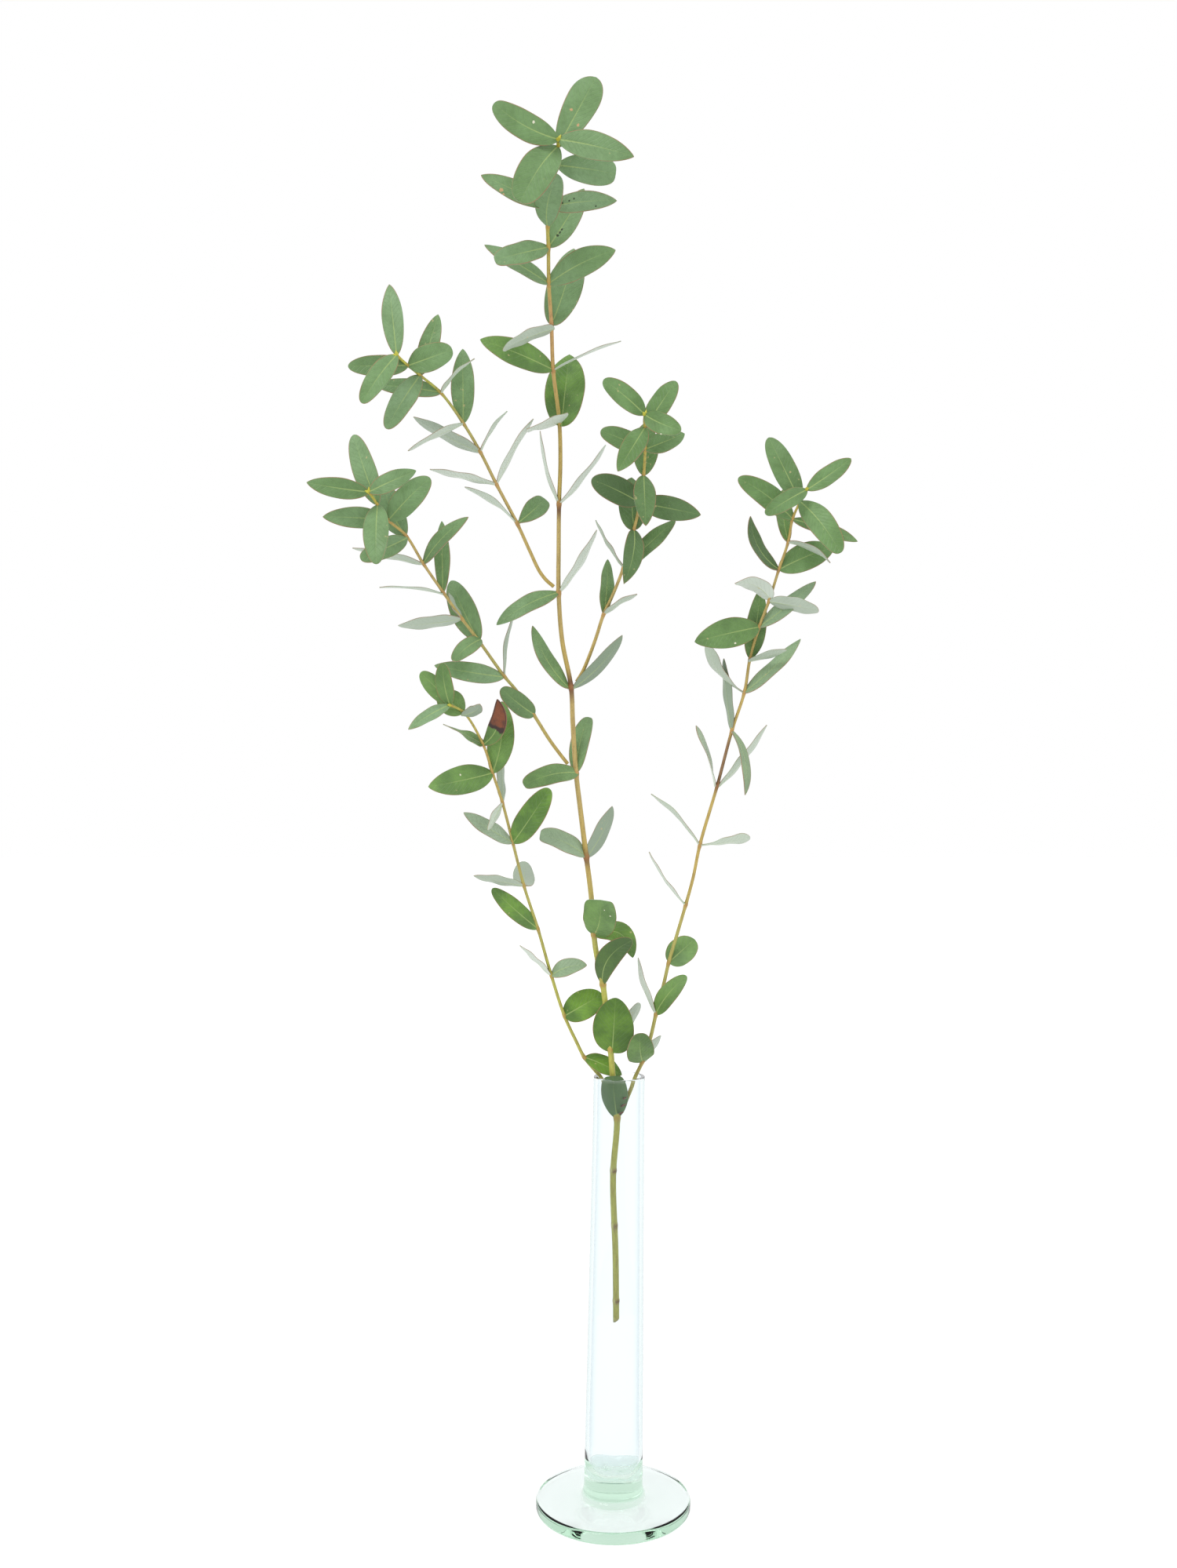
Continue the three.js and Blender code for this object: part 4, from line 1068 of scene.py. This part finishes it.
# The glass: its colours, with a grey-blue painted shade for its edges that stands in for darker
# surroundings seen in them, the green that thick glass lets through and how much of the rest it
# takes out, and the heights in metres over which the tube's painted edge shade and the lip's
# shine set in.
CLEAR_GLASS = colour(248, 251, 253)
PAINTED_EDGE_SHADE = colour(200, 214, 222)
GLASS_GREEN = (0.17, 0.67, 0.29, 1)
GLASS_DENSITY = 11.0
TUBE_EDGE_SHADE_START = (0.012, 0.035)
LIP_SHINE_START = (0.1962, 0.1974)


def glass_material():
    """Clear glass with painted grey-blue shade where it turns away from the viewer, and green
    where it is thick.
    """
    n = Nodes("vase clear glass")
    turned = n.make("ShaderNodeLayerWeight").outputs["Facing"]
    height = n.make("ShaderNodeSeparateXYZ", {0: n.places()}).outputs["Z"]
    # Painted shade: the base colour turns grey-blue towards the silhouettes, standing in for
    # darker surroundings seen in the glass's edges.
    edge_shade = n.times(n.spread(turned, 0.3, 0.85), n.spread(height, *TUBE_EDGE_SHADE_START))
    n.bump(n.noise(60.0, 1.0), 0.0001, 0.4)
    tinge = {"Color": GLASS_GREEN, "Density": GLASS_DENSITY}
    absorption = n.make("ShaderNodeVolumeAbsorption", tinge).outputs[0]
    n.feed(n.tree.nodes["Material Output"], {"Volume": absorption})
    return n.finish({
        "Base Color": n.blend(edge_shade, CLEAR_GLASS, PAINTED_EDGE_SHADE),
        "Roughness": n.spread(n.noise(300.0), 0.4, 0.8, 0.0, 0.03),
        "Transmission Weight": 1.0,
        "IOR": 1.26,
        "Specular IOR Level": 0.9,
        "Coat Weight": n.spread(height, *LIP_SHINE_START),
    })


# The stage, in metres and watts. The floor's top is a little below the foot, so that no two faces
# share a plane. The lights are soft squares: name, place, size and power.
FLOOR_CORNERS = [(-6, -6), (6, -6), (6, 6), (-6, 6)]
FLOOR_TOP = -0.0004
FLOOR_GREYS = (colour(128, 128, 128), colour(132, 132, 132))
FLOOR_GLOW = 0.85
DAYLIGHT = 1.0
LIGHT_AIM = Vector((0, -0.05, 0.35))
LIGHTS = [("key", (-1.2, -1.4, 2.0), 1.2, 22.0), ("fill", (1.6, -0.6, 1.2), 1.4, 6.0)]


def floor_material():
    """A white light table: it glows a little, so what stands on it throws hardly any shadow."""
    n = Nodes("pale floor")
    return n.finish({
        "Base Color": n.blend(n.noise(8.0), *FLOOR_GREYS),
        "Roughness": 0.7,
        "Specular IOR Level": 0.2,
        "Emission Color": (1, 1, 1, 1),
        "Emission Strength": FLOOR_GLOW,
    })


def add_floor():
    mesh = bpy.data.meshes.new("floor")
    mesh.from_pydata([(x, y, FLOOR_TOP) for x, y in FLOOR_CORNERS], [], [(0, 1, 2, 3)])
    mesh.materials.append(floor_material())
    add_object("floor", mesh)


def add_light(name, spot, size, power):
    light = bpy.data.lights.new(name, "AREA")
    light.size = size
    light.energy = power
    lamp = add_object(name, light)
    lamp.location = spot
    lamp.rotation_euler = (LIGHT_AIM - Vector(spot)).to_track_quat("-Z", "Y").to_euler()


def add_daylight():
    world = bpy.data.worlds.new("soft white")
    world.use_nodes = True
    background = world.node_tree.nodes["Background"]
    background.inputs["Color"].default_value = (1, 1, 1, 1)
    background.inputs["Strength"].default_value = DAYLIGHT
    bpy.context.scene.world = world


def add_camera():
    """The photograph's viewpoint, looking level at the branch."""
    lens = bpy.data.cameras.new("camera")
    lens.sensor_width = SENSOR
    lens.lens = SENSOR * FOCAL_LENGTH_PX / PHOTO_HEIGHT_PX
    lens.clip_start = 0.01
    camera = add_object("camera", lens)
    camera.location = EYE * MM
    camera.rotation_euler = (math.pi / 2, 0, 0)
    bpy.context.scene.camera = camera


def dress(piece, node):
    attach(piece, "root")
    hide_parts(node)


bpy.context.scene.view_settings.view_transform = "Standard"
add_camera()
add_floor()
add_daylight()
for light in LIGHTS:
    add_light(*light)

dress(vase_piece(glass_material()), "vase")
bark = stem_material()
leaf_looks = {slot: leaf_material(slot.replace("_", " "))
              for slot in ("gum_leaves", "low_gum_leaves")}
for node, points, foot_radius, tip_radius, bloom, finish in SHOOTS:
    dress(stem_piece(node, points, foot_radius, tip_radius, bark), node)
    dress(leaves_piece(node, points, bloom, leaf_looks[finish]), node)
